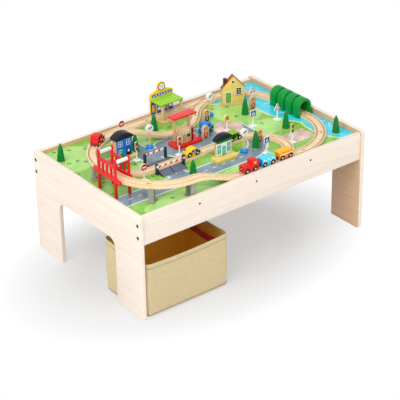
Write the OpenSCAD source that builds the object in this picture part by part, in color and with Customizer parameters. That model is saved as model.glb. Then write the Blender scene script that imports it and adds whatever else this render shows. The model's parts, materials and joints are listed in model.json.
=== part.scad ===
// Toy train table: two arched end panels, side rails and a sunk play board,
// with a wooden track set, its toys and a fabric bin underneath.
// Millimetres. +Z is up and +X runs along the table. The origin is on the floor, below its middle.

/* [Table] */
// Overall length
table_l = 1000; // [960:10:1100]
// Overall width
table_w = 640; // [620:10:720]
// Height of the end panels
table_h = 400; // [360:5:460]
// Thickness of the panels and rails
panel_t = 16; // [12:1:20]
// Width of each leg
leg_w = 150; // [120:5:180]
// Height of the opening between the legs
arch_h = 250; // [200:5:270]
// Radius of the opening's upper corners
arch_r = 35; // [15:1:50]
// Radius of the panels' outer corners
corner_r = 10; // [4:1:20]
// Height of the side rails
rail_h = 108; // [96:1:120]
// Drop of the rails below the panels' tops
rail_drop = 6; // [2:1:12]
// Setback of the rails from the panels' edges
rail_setback = 6; // [2:1:12]
// Drop of the play board below the rails' tops
board_drop = 16; // [12:1:20]
// Thickness of the play board
board_t = 6; // [4:1:9]
// Width of the battens under the board
batten_w = 30; // [20:1:40]
// Height of those battens
batten_h = 20; // [16:1:28]
// Distance between battens
batten_pitch = 247; // [220:1:260]

/* [Fasteners] */
// Diameter of the panel bolts
bolt_d = 6; // [5:1:8]
// Diameter of the bolt heads
bolt_head_d = 13; // [10:1:15]
// Thickness of the bolt heads
bolt_head_t = 3; // [2:0.5:5]
// Distance of the bolts from the rails' edges
bolt_edge = 31; // [24:1:36]
// Distance of the barrel nuts from the rails' ends
nut_inset = 34; // [28:1:40]
// Diameter of the barrel nuts
nut_d = 10; // [9:1:13]
// Diameter of the rail screws
screw_d = 4; // [3:0.5:5]
// Length of the rail screws
screw_l = 45; // [35:1:60]

/* [Bin] */
// Length of the bin along the table
bin_l = 348; // [300:1:380]
// Depth of the bin
bin_w = 248; // [200:1:280]
// Height of the bin
bin_h = 210; // [160:1:230]
// Thickness of its stiffened cloth
bin_t = 4; // [3:0.5:6]
// Radius of its upright corners
bin_r = 12; // [8:1:40]
// Depth of the hem round its rim
hem_h = 22; // [14:1:30]
// Gap between the bin and the end panel
bin_gap = 6; // [6:1:20]
// Width of the strap inside
strap_w = 26; // [18:1:34]

/* [Track] */
// Width of the track
track_w = 40; // [38:0.5:42]
// Thickness of the track
track_t = 12; // [10:0.5:14]
// Distance between the two grooves
gauge = 26; // [25:0.5:27]
// Width of each groove
groove_w = 6; // [5.5:0.25:7]
// Depth of each groove
groove_d = 3; // [2.5:0.25:4]
// Diameter of the joining pegs' heads
peg_d = 11; // [9:0.5:13]
// Reach of the pegs
peg_l = 12; // [10:0.5:14]
// Width of the pegs' necks
neck_w = 6; // [5:0.5:7]
// Height that the ramps climb
rise = 56; // [48:1:60]
// Length of the ramps
ramp_l = 216; // [200:1:220]

/* [Layout] */
// Gap between the front track and the front rail
front_gap = 1; // [1:0.5:4]
// Gap between the raised track and the left panel
left_gap = 32; // [30:1:36]
// Radius of the raised curve at the front
raised_front_r = 185; // [175:1:195]
// Radius of the raised curve at the back
raised_back_r = 170; // [160:1:180]
// Length of the straight on the bridge
bridge_track_l = 82; // [70:1:95]
// Radius of the right front curve
right_front_r = 205; // [195:1:210]
// Radius of the siding's curves
siding_r = 111; // [105:1:115]
// Radius of the ground loop's left front curve
loop_front_r = 130; // [115:1:140]
// Place of the ground loop's left side from the left panel
loop_left = 109; // [104:1:114]
// Length of the straight between the front ramp and the front switch
front_l = 156; // [140:1:170]
// Length of the front switch
front_switch_l = 110; // [100:1:125]
// Turn of the switches' branches
switch_a = 50; // [48:1:54]
// Radius of the back switch's branch
back_switch_r = 190; // [170:1:195]
// Length of the back switch
back_switch_l = 158; // [155:1:170]
// Radius of the link from the inner ramp to the back switch
link_r = 160; // [145:1:165]
// Length of the straight between the link and the back switch
link_l = 22.5; // [15:0.5:30]

/* [Bridge and tunnel] */
// Length of the bridge's beams
bridge_l = 156; // [130:1:170]
// Height of the bridge's posts
bridge_h = 148; // [140:1:180]
// Distance between its posts
bridge_span = 96; // [80:1:110]
// Thickness of its sides
bridge_t = 7; // [6:0.5:10]
// Gap between its sides and the track
bridge_gap = 4; // [4:0.25:6]
// Length of the tunnel
tunnel_l = 164; // [140:1:170]
// Height of the tunnel
tunnel_h = 72; // [68:1:80]
// Height of each rib on the tunnel's skin
tunnel_rib_h = 7.5; // [3:0.5:8]
// Length of each rib
tunnel_rib_l = 33; // [28:1:34]

/* [Vehicles] */
// Diameter of the wheels
wheel_d = 20; // [18:0.5:21]
// Width of the wheels
wheel_t = 3.8; // [3.4:0.1:4.2]
// Diameter of the axles
axle_d = 3; // [2.5:0.25:4]
// Width of the vehicles
vehicle_w = 30; // [29:0.5:33]
// Length of the engine
engine_l = 65; // [62:1:72]
// Height of the engine's cab over its floor
cab_h = 38; // [36:1:44]
// Length of a wagon
wagon_l = 60; // [59:1:66]
// Height of a wagon over its floor
wagon_h = 28; // [26:1:34]
// Distance between the axles of a train unit
train_base = 36; // [34:1:37]
// Distance between the middles of coupled units
train_pitch = 79; // [76:0.5:84]
// Diameter of the coupling magnets
coupling_d = 9; // [7:0.5:10]
// Distance between the axles of a car
car_base = 34; // [30:1:36]

/* [Fits] */
// Clearance of pegs in their sockets
peg_gap = 0.3; // [0.2:0.05:0.5]
// Gap between the ends of joined tracks
joint_gap = 0.2; // [0.1:0.05:0.5]
// Radial clearance of the axles and gate pins
run_gap = 0.08; // [0.05:0.01:0.1]
// Clearance of the board inside the frame
board_gap = 0.5; // [0.3:0.1:1.5]
// Clearance round bolts and screws
bolt_gap = 0.2; // [0.1:0.05:0.4]
// Clearance under wheels and beside moving faces
rest_gap = 0.3; // [0.2:0.05:0.5]

/* [Hidden] */
$fn = 64;
cut = 1;

// Frame
inner_l = table_l - 2 * panel_t;
inner_w = table_w - 2 * (panel_t + rail_setback);
rail_y = table_w / 2 - rail_setback - panel_t / 2;
rail_top = table_h - rail_drop;
rail_bottom = rail_top - rail_h;
board_z = rail_top - board_drop;
batten_top = board_z - board_t;
bolt_heights = [rail_bottom + bolt_edge, rail_top - bolt_edge];
bolt_sink = bolt_head_t + 0.5;
bolt_l = panel_t - bolt_sink + nut_inset + nut_d / 2 + 3;
nut_l = panel_t - 2;
screw_head_d = 2 * screw_d;
screw_head_t = 2.5;
batten_places = [-batten_pitch, 0, batten_pitch];

// Track heights and straight lines
low_z = board_z;
high_z = board_z + rise;
wheel_z = board_z + track_t;
left_x = -inner_l / 2 + left_gap + track_w / 2;
front_y = -inner_w / 2 + front_gap + track_w / 2;
siding_y = front_y + 2 * siding_r;
loop_x = -inner_l / 2 + loop_left;

// A pose is a place and a heading. These carry it along a straight or round a curve.
function ahead(p, l) = [p[0] + l * cos(p[2]), p[1] + l * sin(p[2]), p[2]];
function bend(p, r, a) = let (s = sign(a)) [
  p[0] + s * r * (sin(p[2] + a) - sin(p[2])),
  p[1] - s * r * (cos(p[2] + a) - cos(p[2])),
  p[2] + a
];
function turned(p, a) = [p[0], p[1], p[2] + a];

// Raised line, from the front ramp to the inner ramp
inner_heading = -8;
ramp_top = [left_x + raised_front_r, front_y, 180];
ramp_foot = ahead(ramp_top, -ramp_l);
bridge_start = bend(ramp_top, raised_front_r, -90);
bridge_end = ahead(bridge_start, bridge_track_l);
raised_back_a = 90 - inner_heading;
inner_top = bend(bridge_end, raised_back_r, -raised_back_a);
inner_foot = ahead(inner_top, ramp_l);

// Link and back switch
link_a = switch_a - inner_heading;
link_end = bend(inner_foot, link_r, link_a);
branch_end = ahead(link_end, link_l);
back_y = branch_end[1] + back_switch_r * (1 - cos(switch_a));
back_switch_x = branch_end[0] + back_switch_r * sin(switch_a);
back_switch_pose = [back_switch_x, back_y, 180];

// Right side
front_switch_x = ramp_foot[0] + front_l;
right_start = [front_switch_x + front_switch_l, front_y, 0];
right_x = right_start[0] + right_front_r;
right_back_r = right_x - back_switch_x;
right_low = bend(right_start, right_front_r, 90);
right_high = [right_x, back_y - right_back_r, 90];
right_l = right_high[1] - right_low[1];

// Ground loop
back_start = ahead(back_switch_pose, back_switch_l);
loop_back_r = back_y - siding_y - loop_front_r;
loop_start = [loop_x + loop_back_r, back_y, 180];
back_l = back_start[0] - loop_start[0];
loop_mid = bend(loop_start, loop_back_r, 90);
siding_start = bend(loop_mid, loop_front_r, 90);
siding_l = front_switch_x - siding_start[0];
siding_end = ahead(siding_start, siding_l);
siding_a = 180 - switch_a;

// Bridge and tunnel
bridge_y = bridge_start[1] + bridge_track_l / 2 - 33;
bridge_in = track_w / 2 + bridge_gap;
deck_h = 16;
deck_lift = 4;
handrail_z = 36;
post_w = 10;
tie_h = 8;
pier_w = 18;
tunnel_bore = track_w / 2 + 2;
tunnel_r = tunnel_bore + 2.5;
tunnel_axis = tunnel_h - tunnel_r - tunnel_rib_h;
tunnel_y = (right_low[1] + right_high[1]) / 2;
rib_pitch = (tunnel_l - tunnel_rib_l) / 3;

// Station and fuel stop
station_x = front_switch_x - 130;
station_l = 118;
station_d = 33;
station_y = back_y - track_w / 2 - 1.5 - station_d;
station_t = 10;
station_post = 9;
station_roof_z = 61;
board_face_y = back_y + track_w / 2 + 0.5;
backboard_t = 7;
fuel_x = left_x + 344;
fuel_y = siding_y + 75;
fuel_l = 118;
fuel_d = 60;
fuel_t = 9;
fuel_post_h = 97;

// Houses
house_h = 62;
house_peak = 108;
house_w = 84;
house_d = 14;
house_base_t = 11;
house_pose = [right_x - 182, back_y - 71, -24];
small_base = [96, 40, 12];
blue_base = [left_x + 112, siding_y + 128];
white_base = [front_switch_x - 171, front_y + 120];
small_body = [68, 26];
white_body = [68, 12];
blue_body_h = 72;
white_body_h = 64;

// Level crossing
crossing_x = left_x + 237;
crossing_l = 104;
crossing_d = 34;
crossing_gap = 2;
gate_post = [9, 8, 40];
gate_reach = 40;
gate_pin_d = 4;
gate_bar_t = 4;
gate_bar_h = 6;
gate_pin_z = 32;
gate_in_y = track_w / 2 + crossing_gap + gate_post[1] / 2 + 1;
gate_out_y = gate_in_y + crossing_d;
gate_in_reach = crossing_l / 2 + 1;

// Vehicles: their own zero is the middle of the track's top
axle_z = wheel_d / 2 - groove_d + rest_gap;
axle_len = gauge + wheel_t + 0.8;
body_z = 3;
wheel_room = 0.8;
coupling_gap = 1;
pocket_y = gauge / 2 - wheel_t / 2 - 0.6;
engine_x = front_switch_x - 129;
train_places = [engine_x, engine_x + train_pitch, engine_x + 2 * train_pitch];
car_arc = 110;
car_slack = pow(car_base / 2, 2) / (2 * raised_back_r);
red_pose = let (p = bend(bridge_end, raised_back_r, car_arc - 170), h = p[2])
  [p[0] + car_slack * sin(h), p[1] - car_slack * cos(h), h];
yellow_pose = [left_x + 350, siding_y, 180];
lime_pose = [front_switch_x - 17, siding_y, 0];
truck_pose = [front_switch_x - 45, siding_y + 123, 20];

// Scenery places, tied to the nearest line of track
tree_places = [
  [left_x - 20, back_y - 55],
  [left_x + 222, back_y - 166],
  [left_x + 372, back_y - 74],
  [left_x + 262, front_y + 98],
  [front_switch_x + 13, front_y + 134],
  [right_x - 159, siding_y + 145],
  [right_x - 118, siding_y - 38],
  [right_x - 3, front_y + 42],
  [left_x + 112, siding_y + 79]
];
lamp_places = [[left_x + 282, siding_y + 154], [right_x - 262, back_y - 98], [front_switch_x - 37, siding_y - 84]];
figure_places = [[right_x - 106, siding_y + 168], [right_x - 306, siding_y + 191], [front_switch_x - 77, siding_y + 88],
  [front_switch_x + 52, siding_y - 59]];
round_places = [[loop_x + 199, back_y - 33], [left_x + 120, siding_y - 33], [front_switch_x + 20, siding_y + 84]];
square_places = [[right_x - 196, siding_y + 55], [front_switch_x + 18, front_y + 80]];
triangle_places = [[right_x - 67, siding_y + 215], [right_x - 92, siding_y + 41]];
light_places = [[left_x + 190, siding_y + 106], [left_x + 330, siding_y + 43.5], [front_switch_x + 143, front_y + 87]];

// Puts its children at a pose and height
module at(p, z) {
  translate([p[0], p[1], z]) rotate(p[2]) children();
}

// Rectangle with round corners, its lower left corner at zero
module rounded(w, h, r) {
  translate([r, 0]) square([w - 2 * r, h]);
  translate([0, r]) square([w, h - 2 * r]);
  for (x = [r, w - r], y = [r, h - r]) translate([x, y]) circle(r);
}

// Stands a drawing up so that it is seen from the front, with its depth running back from zero
module upright(depth) {
  translate([0, depth, 0]) rotate([90, 0, 0]) linear_extrude(depth) children();
}

// Stands a drawing up across the table, with its depth along +X
module crosswise(depth) {
  rotate([90, 0, 90]) linear_extrude(depth) children();
}

// Rods along X and Y, from zero
module rod_x(d, l) {
  rotate([0, 90, 0]) cylinder(d = d, h = l);
}

module rod_y(d, l) {
  rotate([-90, 0, 0]) cylinder(d = d, h = l);
}

// End panel, seen from its outer face, with sunk bolt heads
module end_panel() {
  arch_w = table_w - 2 * leg_w;
  difference() {
    crosswise(panel_t) difference() {
      translate([-table_w / 2, 0]) rounded(table_w, table_h, corner_r);
      translate([-arch_w / 2, -arch_r - cut]) rounded(arch_w, arch_h + arch_r + cut, arch_r);
    }
    for (y = [-rail_y, rail_y], z = bolt_heights) translate([0, y, z]) {
      translate([-cut, 0, 0]) rod_x(bolt_d + 2 * bolt_gap, panel_t + 2 * cut);
      translate([-cut, 0, 0]) rod_x(bolt_head_d + 1, bolt_sink + cut);
    }
  }
}

module end_panel_left() {
  color("Wheat") translate([-table_l / 2, 0, 0]) end_panel();
}

module end_panel_right() {
  color("Wheat") translate([table_l / 2, 0, 0]) mirror([1, 0, 0]) end_panel();
}

// Front rail. Its outer face is at -Y.
module side_rail() {
  difference() {
    translate([-inner_l / 2, -panel_t / 2, rail_bottom]) cube([inner_l, panel_t, rail_h]);
    for (side = [0, 1], z = bolt_heights) mirror([side, 0, 0]) translate([-inner_l / 2 - cut, 0, z]) {
      rod_x(bolt_d + 2 * bolt_gap, cut + nut_inset + nut_d + 8);
      translate([cut + nut_inset, panel_t / 2 - nut_l, 0]) rod_y(nut_d, nut_l + cut);
    }
    for (x = batten_places) translate([x, -panel_t / 2 - cut, batten_top - batten_h / 2]) {
      rod_y(screw_d + 2 * bolt_gap, panel_t + 2 * cut);
      rod_y(screw_head_d + 2 * bolt_gap, screw_head_t + cut);
    }
  }
}

module side_rail_front() {
  color("Wheat") translate([0, -rail_y, 0]) side_rail();
}

module side_rail_back() {
  color("Wheat") translate([0, rail_y, 0]) mirror([0, 1, 0]) side_rail();
}

module play_board() {
  color("YellowGreen") translate([-inner_l / 2 + board_gap, -inner_w / 2 + board_gap, batten_top])
    cube([inner_l - 2 * board_gap, inner_w - 2 * board_gap, board_t]);
}

module board_battens() {
  pilot_l = screw_l - panel_t;
  color("BurlyWood") for (x = batten_places) difference() {
    translate([x - batten_w / 2, -inner_w / 2, batten_top - batten_h]) cube([batten_w, inner_w, batten_h]);
    for (side = [0, 1]) mirror([0, side, 0])
      translate([x, -inner_w / 2 - cut, batten_top - batten_h / 2]) rod_y(screw_d, pilot_l + cut + 2);
  }
}

module panel_bolts() {
  color("DimGray") for (side = [0, 1], y = [-rail_y, rail_y], z = bolt_heights)
    mirror([side, 0, 0]) translate([-table_l / 2 + bolt_sink, y, z]) {
      difference() {
        translate([-bolt_head_t, 0, 0]) rod_x(bolt_head_d, bolt_head_t);
        translate([-bolt_head_t - cut, 0, 0]) rotate([0, 90, 0]) cylinder(d = bolt_d - 1.5, h = cut + 2, $fn = 6);
      }
      rod_x(bolt_d, bolt_l);
    }
}

module barrel_nuts() {
  color("Silver") for (side = [0, 1], back = [0, 1], z = bolt_heights)
    mirror([side, 0, 0]) mirror([0, back, 0]) translate([-inner_l / 2 + nut_inset, -rail_y, z]) difference() {
      translate([0, panel_t / 2 - nut_l, 0]) rod_y(nut_d, nut_l);
      translate([-nut_d, 0, 0]) rod_x(bolt_d, 2 * nut_d);
    }
}

module rail_screws() {
  color("DimGray") for (back = [0, 1], x = batten_places)
    mirror([0, back, 0]) translate([x, -rail_y - panel_t / 2, batten_top - batten_h / 2]) {
      translate([0, 0.3, 0]) rod_y(screw_head_d, screw_head_t - 0.3);
      translate([0, screw_head_t, 0]) rod_y(screw_d, screw_l - screw_head_t);
    }
}

// The bin's outline, drawn in by a distance on all sides
module bin_outline(inset) {
  translate([inset, inset]) rounded(bin_l - 2 * inset, bin_w - 2 * inset, bin_r - inset);
}

module in_bin() {
  translate([-inner_l / 2 + bin_gap, -table_w / 2 + 2, 0]) children();
}

module bin_shell() {
  hem_t = 1.2;
  color("Tan") in_bin() difference() {
    union() {
      linear_extrude(bin_h) bin_outline(hem_t);
      translate([0, 0, bin_h - hem_h]) linear_extrude(hem_h) bin_outline(0);
    }
    translate([0, 0, bin_t]) linear_extrude(bin_h) bin_outline(bin_t + hem_t);
  }
}

module bin_base() {
  color("SaddleBrown") in_bin() translate([0, 0, bin_t]) linear_extrude(3) bin_outline(bin_t + 2.5);
}

// Strap from the front wall to the back wall, below the rim
module bin_strap() {
  inside = bin_w - 2 * (bin_t + 1.2);
  color("DarkRed") in_bin() translate([bin_l - bin_r - 16, bin_t + 1.2, bin_h - 54]) cube([3, inside, strap_w]);
}

// Track cross-sections: the wooden bed, and the two grooves to take out of it
module bed_section() {
  translate([-track_w / 2, 0]) square([track_w, track_t]);
}

module groove_section() {
  for (side = [-1, 1]) translate([side * gauge / 2 - groove_w / 2, track_t - groove_d])
    square([groove_w, groove_d + cut]);
}

// A section carried along +X, or round a curve that leaves along +X (positive turns left)
module along(length) {
  rotate([90, 0, 90]) linear_extrude(length) children();
}

module around(radius, angle) {
  mirror([0, angle < 0 ? 1 : 0, 0]) translate([0, radius, 0]) rotate(-90)
    rotate_extrude(angle = abs(angle), $fn = 128) translate([radius, 0]) children();
}

// Joining peg, and the keyhole that takes it, both pointing along +X from a track's end
module peg() {
  translate([0, 0, 1]) linear_extrude(track_t - 3) {
    translate([-2, -neck_w / 2]) square([peg_l + 2, neck_w]);
    translate([peg_l, 0]) circle(d = peg_d);
  }
}

module keyhole() {
  translate([0, 0, -cut]) linear_extrude(track_t + 2 * cut) {
    translate([-cut, -neck_w / 2 - peg_gap]) square([peg_l + cut, neck_w + 2 * peg_gap]);
    translate([peg_l, 0]) circle(d = peg_d + 2 * peg_gap);
  }
}

// Straight track from a pose. Its start takes a peg and its end has one, unless told otherwise.
module straight(pose, z, length, start_peg = false) {
  at(pose, z) {
    difference() {
      along(length - joint_gap) difference() {
        bed_section();
        groove_section();
      }
      if (!start_peg) keyhole();
    }
    if (start_peg) rotate(180) peg();
    translate([length, 0, 0]) peg();
  }
}

// A run of equal straights
module straights(pose, z, length, count) {
  for (i = [0 : count - 1]) straight(ahead(pose, length * i / count), z, length / count);
}

// Curved track from a pose
module curve(pose, z, radius, angle) {
  gap_a = sign(angle) * joint_gap / radius * 180 / PI;
  at(pose, z) difference() {
    around(radius, angle - gap_a) difference() {
      bed_section();
      groove_section();
    }
    keyhole();
  }
  at(bend(pose, radius, angle), z) peg();
}

// A run of equal curves
module curves(pose, z, radius, angle, count) {
  for (i = [0 : count - 1])
    curve(i == 0 ? pose : bend(pose, radius, angle * i / count), z, radius, angle / count);
}

// Switch from its trunk end: a straight way and a branch to the left
module switch_track(pose, length, radius, angle) {
  at(pose, low_z) {
    difference() {
      union() {
        along(length - joint_gap) bed_section();
        around(radius, angle) bed_section();
      }
      along(length) groove_section();
      around(radius, angle) groove_section();
      keyhole();
      at(turned(bend([0, 0, 0], radius, angle), 180), 0) keyhole();
    }
    translate([length, 0, 0]) peg();
  }
}

// Side view of a ramp between two levels above its underside
ramp_steps = 20;
function ramp_line(lift) = [for (i = [0 : ramp_steps])
  [ramp_l * i / ramp_steps, lift + rise * (1 - cos(180 * i / ramp_steps)) / 2]];
function reversed(list) = [for (i = [len(list) - 1 : -1 : 0]) list[i]];

module ramp_slab(width, low, high) {
  translate([0, width / 2, 0]) rotate([90, 0, 0]) linear_extrude(width)
    polygon(concat(ramp_line(low), reversed(ramp_line(high))));
}

// Ramp from its foot at a pose, with a peg at its foot or at its head
module ramp(pose, foot_peg) {
  at(pose, low_z) {
    difference() {
      ramp_slab(track_w, 0, track_t);
      for (side = [-1, 1]) translate([0, side * gauge / 2, 0])
        ramp_slab(groove_w, track_t - groove_d, track_t + cut);
      if (foot_peg) translate([ramp_l, 0, rise]) rotate(180) keyhole();
      else keyhole();
    }
    if (foot_peg) rotate(180) peg();
    else translate([ramp_l, 0, rise]) peg();
  }
}

module track_straights() {
  color("NavajoWhite") {
    straight([ramp_foot[0], front_y, 0], low_z, front_l, start_peg = true);
    straight(bridge_start, high_z, bridge_track_l);
    straight(link_end, low_z, link_l);
    straights(right_low, low_z, right_l, 2);
    straights(back_start, low_z, back_l, 2);
    straights(siding_start, low_z, siding_l, 2);
  }
}

module track_curves() {
  color("NavajoWhite") {
    curves(ramp_top, high_z, raised_front_r, -90, 2);
    curves(bridge_end, high_z, raised_back_r, -raised_back_a, 2);
    curves(inner_foot, low_z, link_r, link_a, 1);
    curves(right_start, low_z, right_front_r, 90, 2);
    curves(right_high, low_z, right_back_r, 90, 2);
    curves(loop_start, low_z, loop_back_r, 90, 2);
    curves(loop_mid, low_z, loop_front_r, 90, 2);
    curves(siding_end, low_z, siding_r, -siding_a, 2);
  }
}

module track_ramps() {
  color("NavajoWhite") {
    ramp(ramp_foot, false);
    ramp(turned(inner_foot, 180), true);
  }
}

module track_switches() {
  color("NavajoWhite") {
    switch_track([front_switch_x, front_y, 0], front_switch_l, siding_r, switch_a);
    switch_track(back_switch_pose, back_switch_l, back_switch_r, switch_a);
  }
}

// Pier with a wide foot and a small arch, standing across the track
module pier(pose) {
  across = track_w - 6;
  at(pose, low_z) difference() {
    union() {
      translate([-pier_w / 2, -across / 2, 0]) cube([pier_w, across, rise]);
      translate([-12, -track_w / 2, 0]) cube([24, track_w, 6]);
    }
    translate([-pier_w / 2 - cut, 0, 6]) crosswise(pier_w + 2 * cut) {
      translate([-8, 0]) square([16, rise - 26]);
      translate([0, rise - 26]) circle(8);
    }
  }
}

module track_piers() {
  color("SlateGray") {
    pier(bend(ramp_top, raised_front_r, -45));
    pier(ahead(ramp_top, pier_w / 2 + joint_gap));
    pier(bend(bridge_end, raised_back_r, -11));
    pier(ahead(inner_top, -pier_w / 2 - joint_gap));
  }
}

// One side of the bridge, seen across the track, from the board up
module bridge_outline() {
  deck_z = rise + deck_lift;
  rail_z = deck_z + deck_h + handrail_z;
  for (side = [-1, 1]) translate([side * bridge_span / 2 - post_w / 2, 0]) {
    square([post_w, bridge_h - post_w / 2]);
    polygon([[0, bridge_h - post_w / 2], [post_w, bridge_h - post_w / 2], [post_w / 2, bridge_h]]);
  }
  translate([-bridge_l / 2, deck_z]) square([bridge_l, deck_h]);
  translate([-bridge_span / 2, rail_z]) square([bridge_span, post_w]);
  for (i = [1 : 3]) translate([bridge_span * (i / 4 - 1 / 2) - post_w / 4, deck_z])
    square([post_w / 2, rail_z - deck_z + post_w / 2]);
}

module bridge_sides() {
  color("FireBrick") difference() {
    for (side = [0, 1]) translate([left_x, bridge_y, low_z])
      mirror([side, 0, 0]) translate([bridge_in, 0, 0]) crosswise(bridge_t) bridge_outline();
    translate([left_x + raised_front_r, bridge_start[1], high_z - peg_gap]) rotate(180)
      rotate_extrude(angle = 40) translate([raised_front_r - track_w / 2 - 1, 0])
        square([track_w + 2, deck_lift + deck_h + 2 * peg_gap]);
  }
}

// Ties that carry the track, and bars across the tops of the posts
module bridge_bars() {
  for (side = [-1, 1]) translate([left_x - bridge_in, bridge_y + side * bridge_span / 2 - post_w / 2, low_z]) {
    color("FireBrick") translate([0, 0, rise - tie_h]) cube([2 * bridge_in, post_w, tie_h]);
    color("White") translate([0, 1, bridge_h - 17]) cube([2 * bridge_in, post_w - 2, 10]);
  }
}

// Half of the tunnel's plan, with its ribs
module tunnel_half() {
  rib_top = tunnel_rib_h + cut;
  square([tunnel_r, tunnel_l]);
  for (i = [0 : 3]) translate([tunnel_r - cut, rib_pitch * i])
    polygon([
      [0, 0], [rib_top - 3, 0], [rib_top - 1, 1], [rib_top, 3],
      [rib_top, tunnel_rib_l - 3], [rib_top - 1, tunnel_rib_l - 1], [rib_top - 3, tunnel_rib_l], [0, tunnel_rib_l]
    ]);
}

module tunnel() {
  color("ForestGreen") translate([right_x, tunnel_y - tunnel_l / 2, low_z]) difference() {
    union() {
      for (side = [0, 1]) mirror([side, 0, 0]) linear_extrude(tunnel_axis) tunnel_half();
      translate([0, tunnel_l, tunnel_axis]) rotate([90, 0, 0]) rotate_extrude(angle = 180) tunnel_half();
    }
    translate([0, -cut, tunnel_axis]) rod_y(2 * tunnel_bore, tunnel_l + 2 * cut);
    translate([-tunnel_bore, -cut, -cut]) cube([2 * tunnel_bore, tunnel_l + 2 * cut, tunnel_axis + cut]);
  }
}

module station_platform() {
  color("Wheat") translate([station_x, station_y, low_z]) linear_extrude(station_t) rounded(station_l, station_d, 6);
}

// Tall board behind the back track, with a round clock above it
module station_board() {
  w = station_l - 14;
  color("Gold") translate([station_x, board_face_y, low_z]) upright(backboard_t) {
    square([w, 92]);
    polygon([[0, 92], [w, 92], [w / 2, 112]]);
    translate([w / 2, 115]) circle(17.5);
  }
}

module station_roof() {
  front = station_y + 9;
  color("OliveDrab") translate([station_x - 2, front, low_z + station_t + station_roof_z])
    linear_extrude(6) rounded(station_l - 14, board_face_y - front, 2);
}

// The wooden posts of both roofs
module roof_posts() {
  color("BurlyWood") {
    for (x = [8, station_l - 26]) translate([station_x + x, station_y + 12, low_z + station_t])
      cube([station_post, station_post, station_roof_z]);
    for (p = [[23, fuel_d - 15], [fuel_l - 32, fuel_d - 15]]) translate([fuel_x + p[0], fuel_y + p[1], low_z + fuel_t])
      cube([station_post, station_post, fuel_post_h]);
  }
}

module fuel_base() {
  color("Red") translate([fuel_x, fuel_y, low_z]) linear_extrude(fuel_t) rounded(fuel_l, fuel_d, 10);
}

module fuel_roof() {
  color("Red") translate([fuel_x + 4, fuel_y + 22, low_z + fuel_t + fuel_post_h])
    linear_extrude(6) rounded(fuel_l - 14, fuel_d - 22, 4);
}

// Pump block with its nozzle holder and hose
module fuel_pump() {
  translate([fuel_x + 34, fuel_y + 16, low_z + fuel_t]) {
    color("BurlyWood") cube([42, 28, 54]);
    color("DarkRed") translate([46, 4, 0]) cube([9, 12, 46]);
    color("White") translate([55, 10, 0]) rotate([90, 0, 0]) rotate_extrude(angle = 90)
      translate([20, 0]) circle(2);
  }
}

// Wall outline of the tall house, and a band of roof along its slopes
module gable() {
  polygon([[0, 0], [house_w, 0], [house_w, house_h], [house_w / 2, house_peak], [0, house_h]]);
}

module yellow_house() {
  color("Khaki") at(house_pose, low_z + house_base_t) translate([3, 7, 0]) upright(house_d) gable();
}

module blue_house() {
  color("RoyalBlue") translate([blue_base[0] + 14, blue_base[1] + 8, low_z + small_base[2]])
    cube([small_body[0], small_body[1], blue_body_h]);
}

module white_house() {
  color("White") translate([white_base[0] + 14, white_base[1] + 24, low_z + small_base[2]])
    cube([white_body[0], white_body[1], white_body_h]);
}

module house_bases() {
  color("Khaki") {
    for (p = [blue_base, white_base]) translate([p[0], p[1], low_z])
      linear_extrude(small_base[2]) rounded(small_base[0], small_base[1], 5);
    at(house_pose, low_z) linear_extrude(house_base_t) rounded(house_w + 8, house_d + 14, 3);
  }
}

// Arched roof of a small house
module arched_roof(body) {
  reach = body[0] + 14;
  r = (pow(reach / 2, 2) + pow(20, 2)) / 40;
  translate([-7, -5, 0]) upright(body[1] + 10) intersection() {
    translate([reach / 2, 20 - r]) circle(r, $fn = 128);
    square([reach, 30]);
  }
}

module house_roofs() {
  slope = (house_peak - house_h) / (house_w / 2);
  over = 4;
  roof_t = 3;
  color("Black") {
    translate([blue_base[0] + 14, blue_base[1] + 8, low_z + small_base[2] + blue_body_h]) arched_roof(small_body);
    translate([white_base[0] + 14, white_base[1] + 24, low_z + small_base[2] + white_body_h]) arched_roof(white_body);
  }
  color("Sienna") at(house_pose, low_z + house_base_t) translate([3, 5, 0]) {
    upright(house_d + 4) polygon([
      [-over, house_h - over * slope], [house_w / 2, house_peak], [house_w + over, house_h - over * slope],
      [house_w + over, house_h - over * slope + roof_t], [house_w / 2, house_peak + roof_t],
      [-over, house_h - over * slope + roof_t]
    ]);
    translate([0, 4, 0]) upright(house_d - 4) difference() {
      translate([6, house_h]) square([13, 36]);
      polygon([[0, house_h], [house_w / 2, house_peak], [house_w / 2, house_h]]);
    }
  }
}

// Two posts with a bore for the gate's pin
module gate_posts(y, reach) {
  for (x = [-reach - gate_post[0], reach]) difference() {
    translate([x, -y - gate_post[1] / 2, 0]) cube(gate_post);
    translate([x + gate_post[0] / 2, -y - gate_post[1] / 2 - cut, gate_pin_z])
      rod_y(gate_pin_d + 2 * run_gap, gate_post[1] + 2 * cut);
  }
}

// Sloping plates on both sides of the siding, with the four gate posts
module crossing_ramps() {
  color("DimGray") for (back = [0, 1]) translate([crossing_x, siding_y, low_z]) mirror([0, back, 0]) {
    translate([-crossing_l / 2, 0, 0]) crosswise(crossing_l)
      polygon([
        [-track_w / 2 - crossing_gap, 0], [-track_w / 2 - crossing_gap, track_t],
        [-track_w / 2 - crossing_gap - crossing_d, 1], [-track_w / 2 - crossing_gap - crossing_d, 0]
      ]);
    if (back == 1) gate_posts(gate_out_y, gate_reach);
    else gate_posts(gate_in_y, gate_in_reach);
  }
}

// Gate arm with its pin, from its pivot along +X, in front of its post
module gate_arm(y, reach) {
  bar_l = 2 * reach + gate_post[0];
  translate([0, -y - gate_post[1] / 2, gate_pin_z]) {
    translate([0, -rest_gap - gate_bar_t, 0]) upright(gate_bar_t) {
      circle(d = gate_bar_h + 4);
      translate([0, -gate_bar_h / 2]) square([bar_l, gate_bar_h]);
    }
    translate([0, -rest_gap - 1, 0]) rod_y(gate_pin_d, rest_gap + 1 + gate_post[1]);
  }
}

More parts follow.
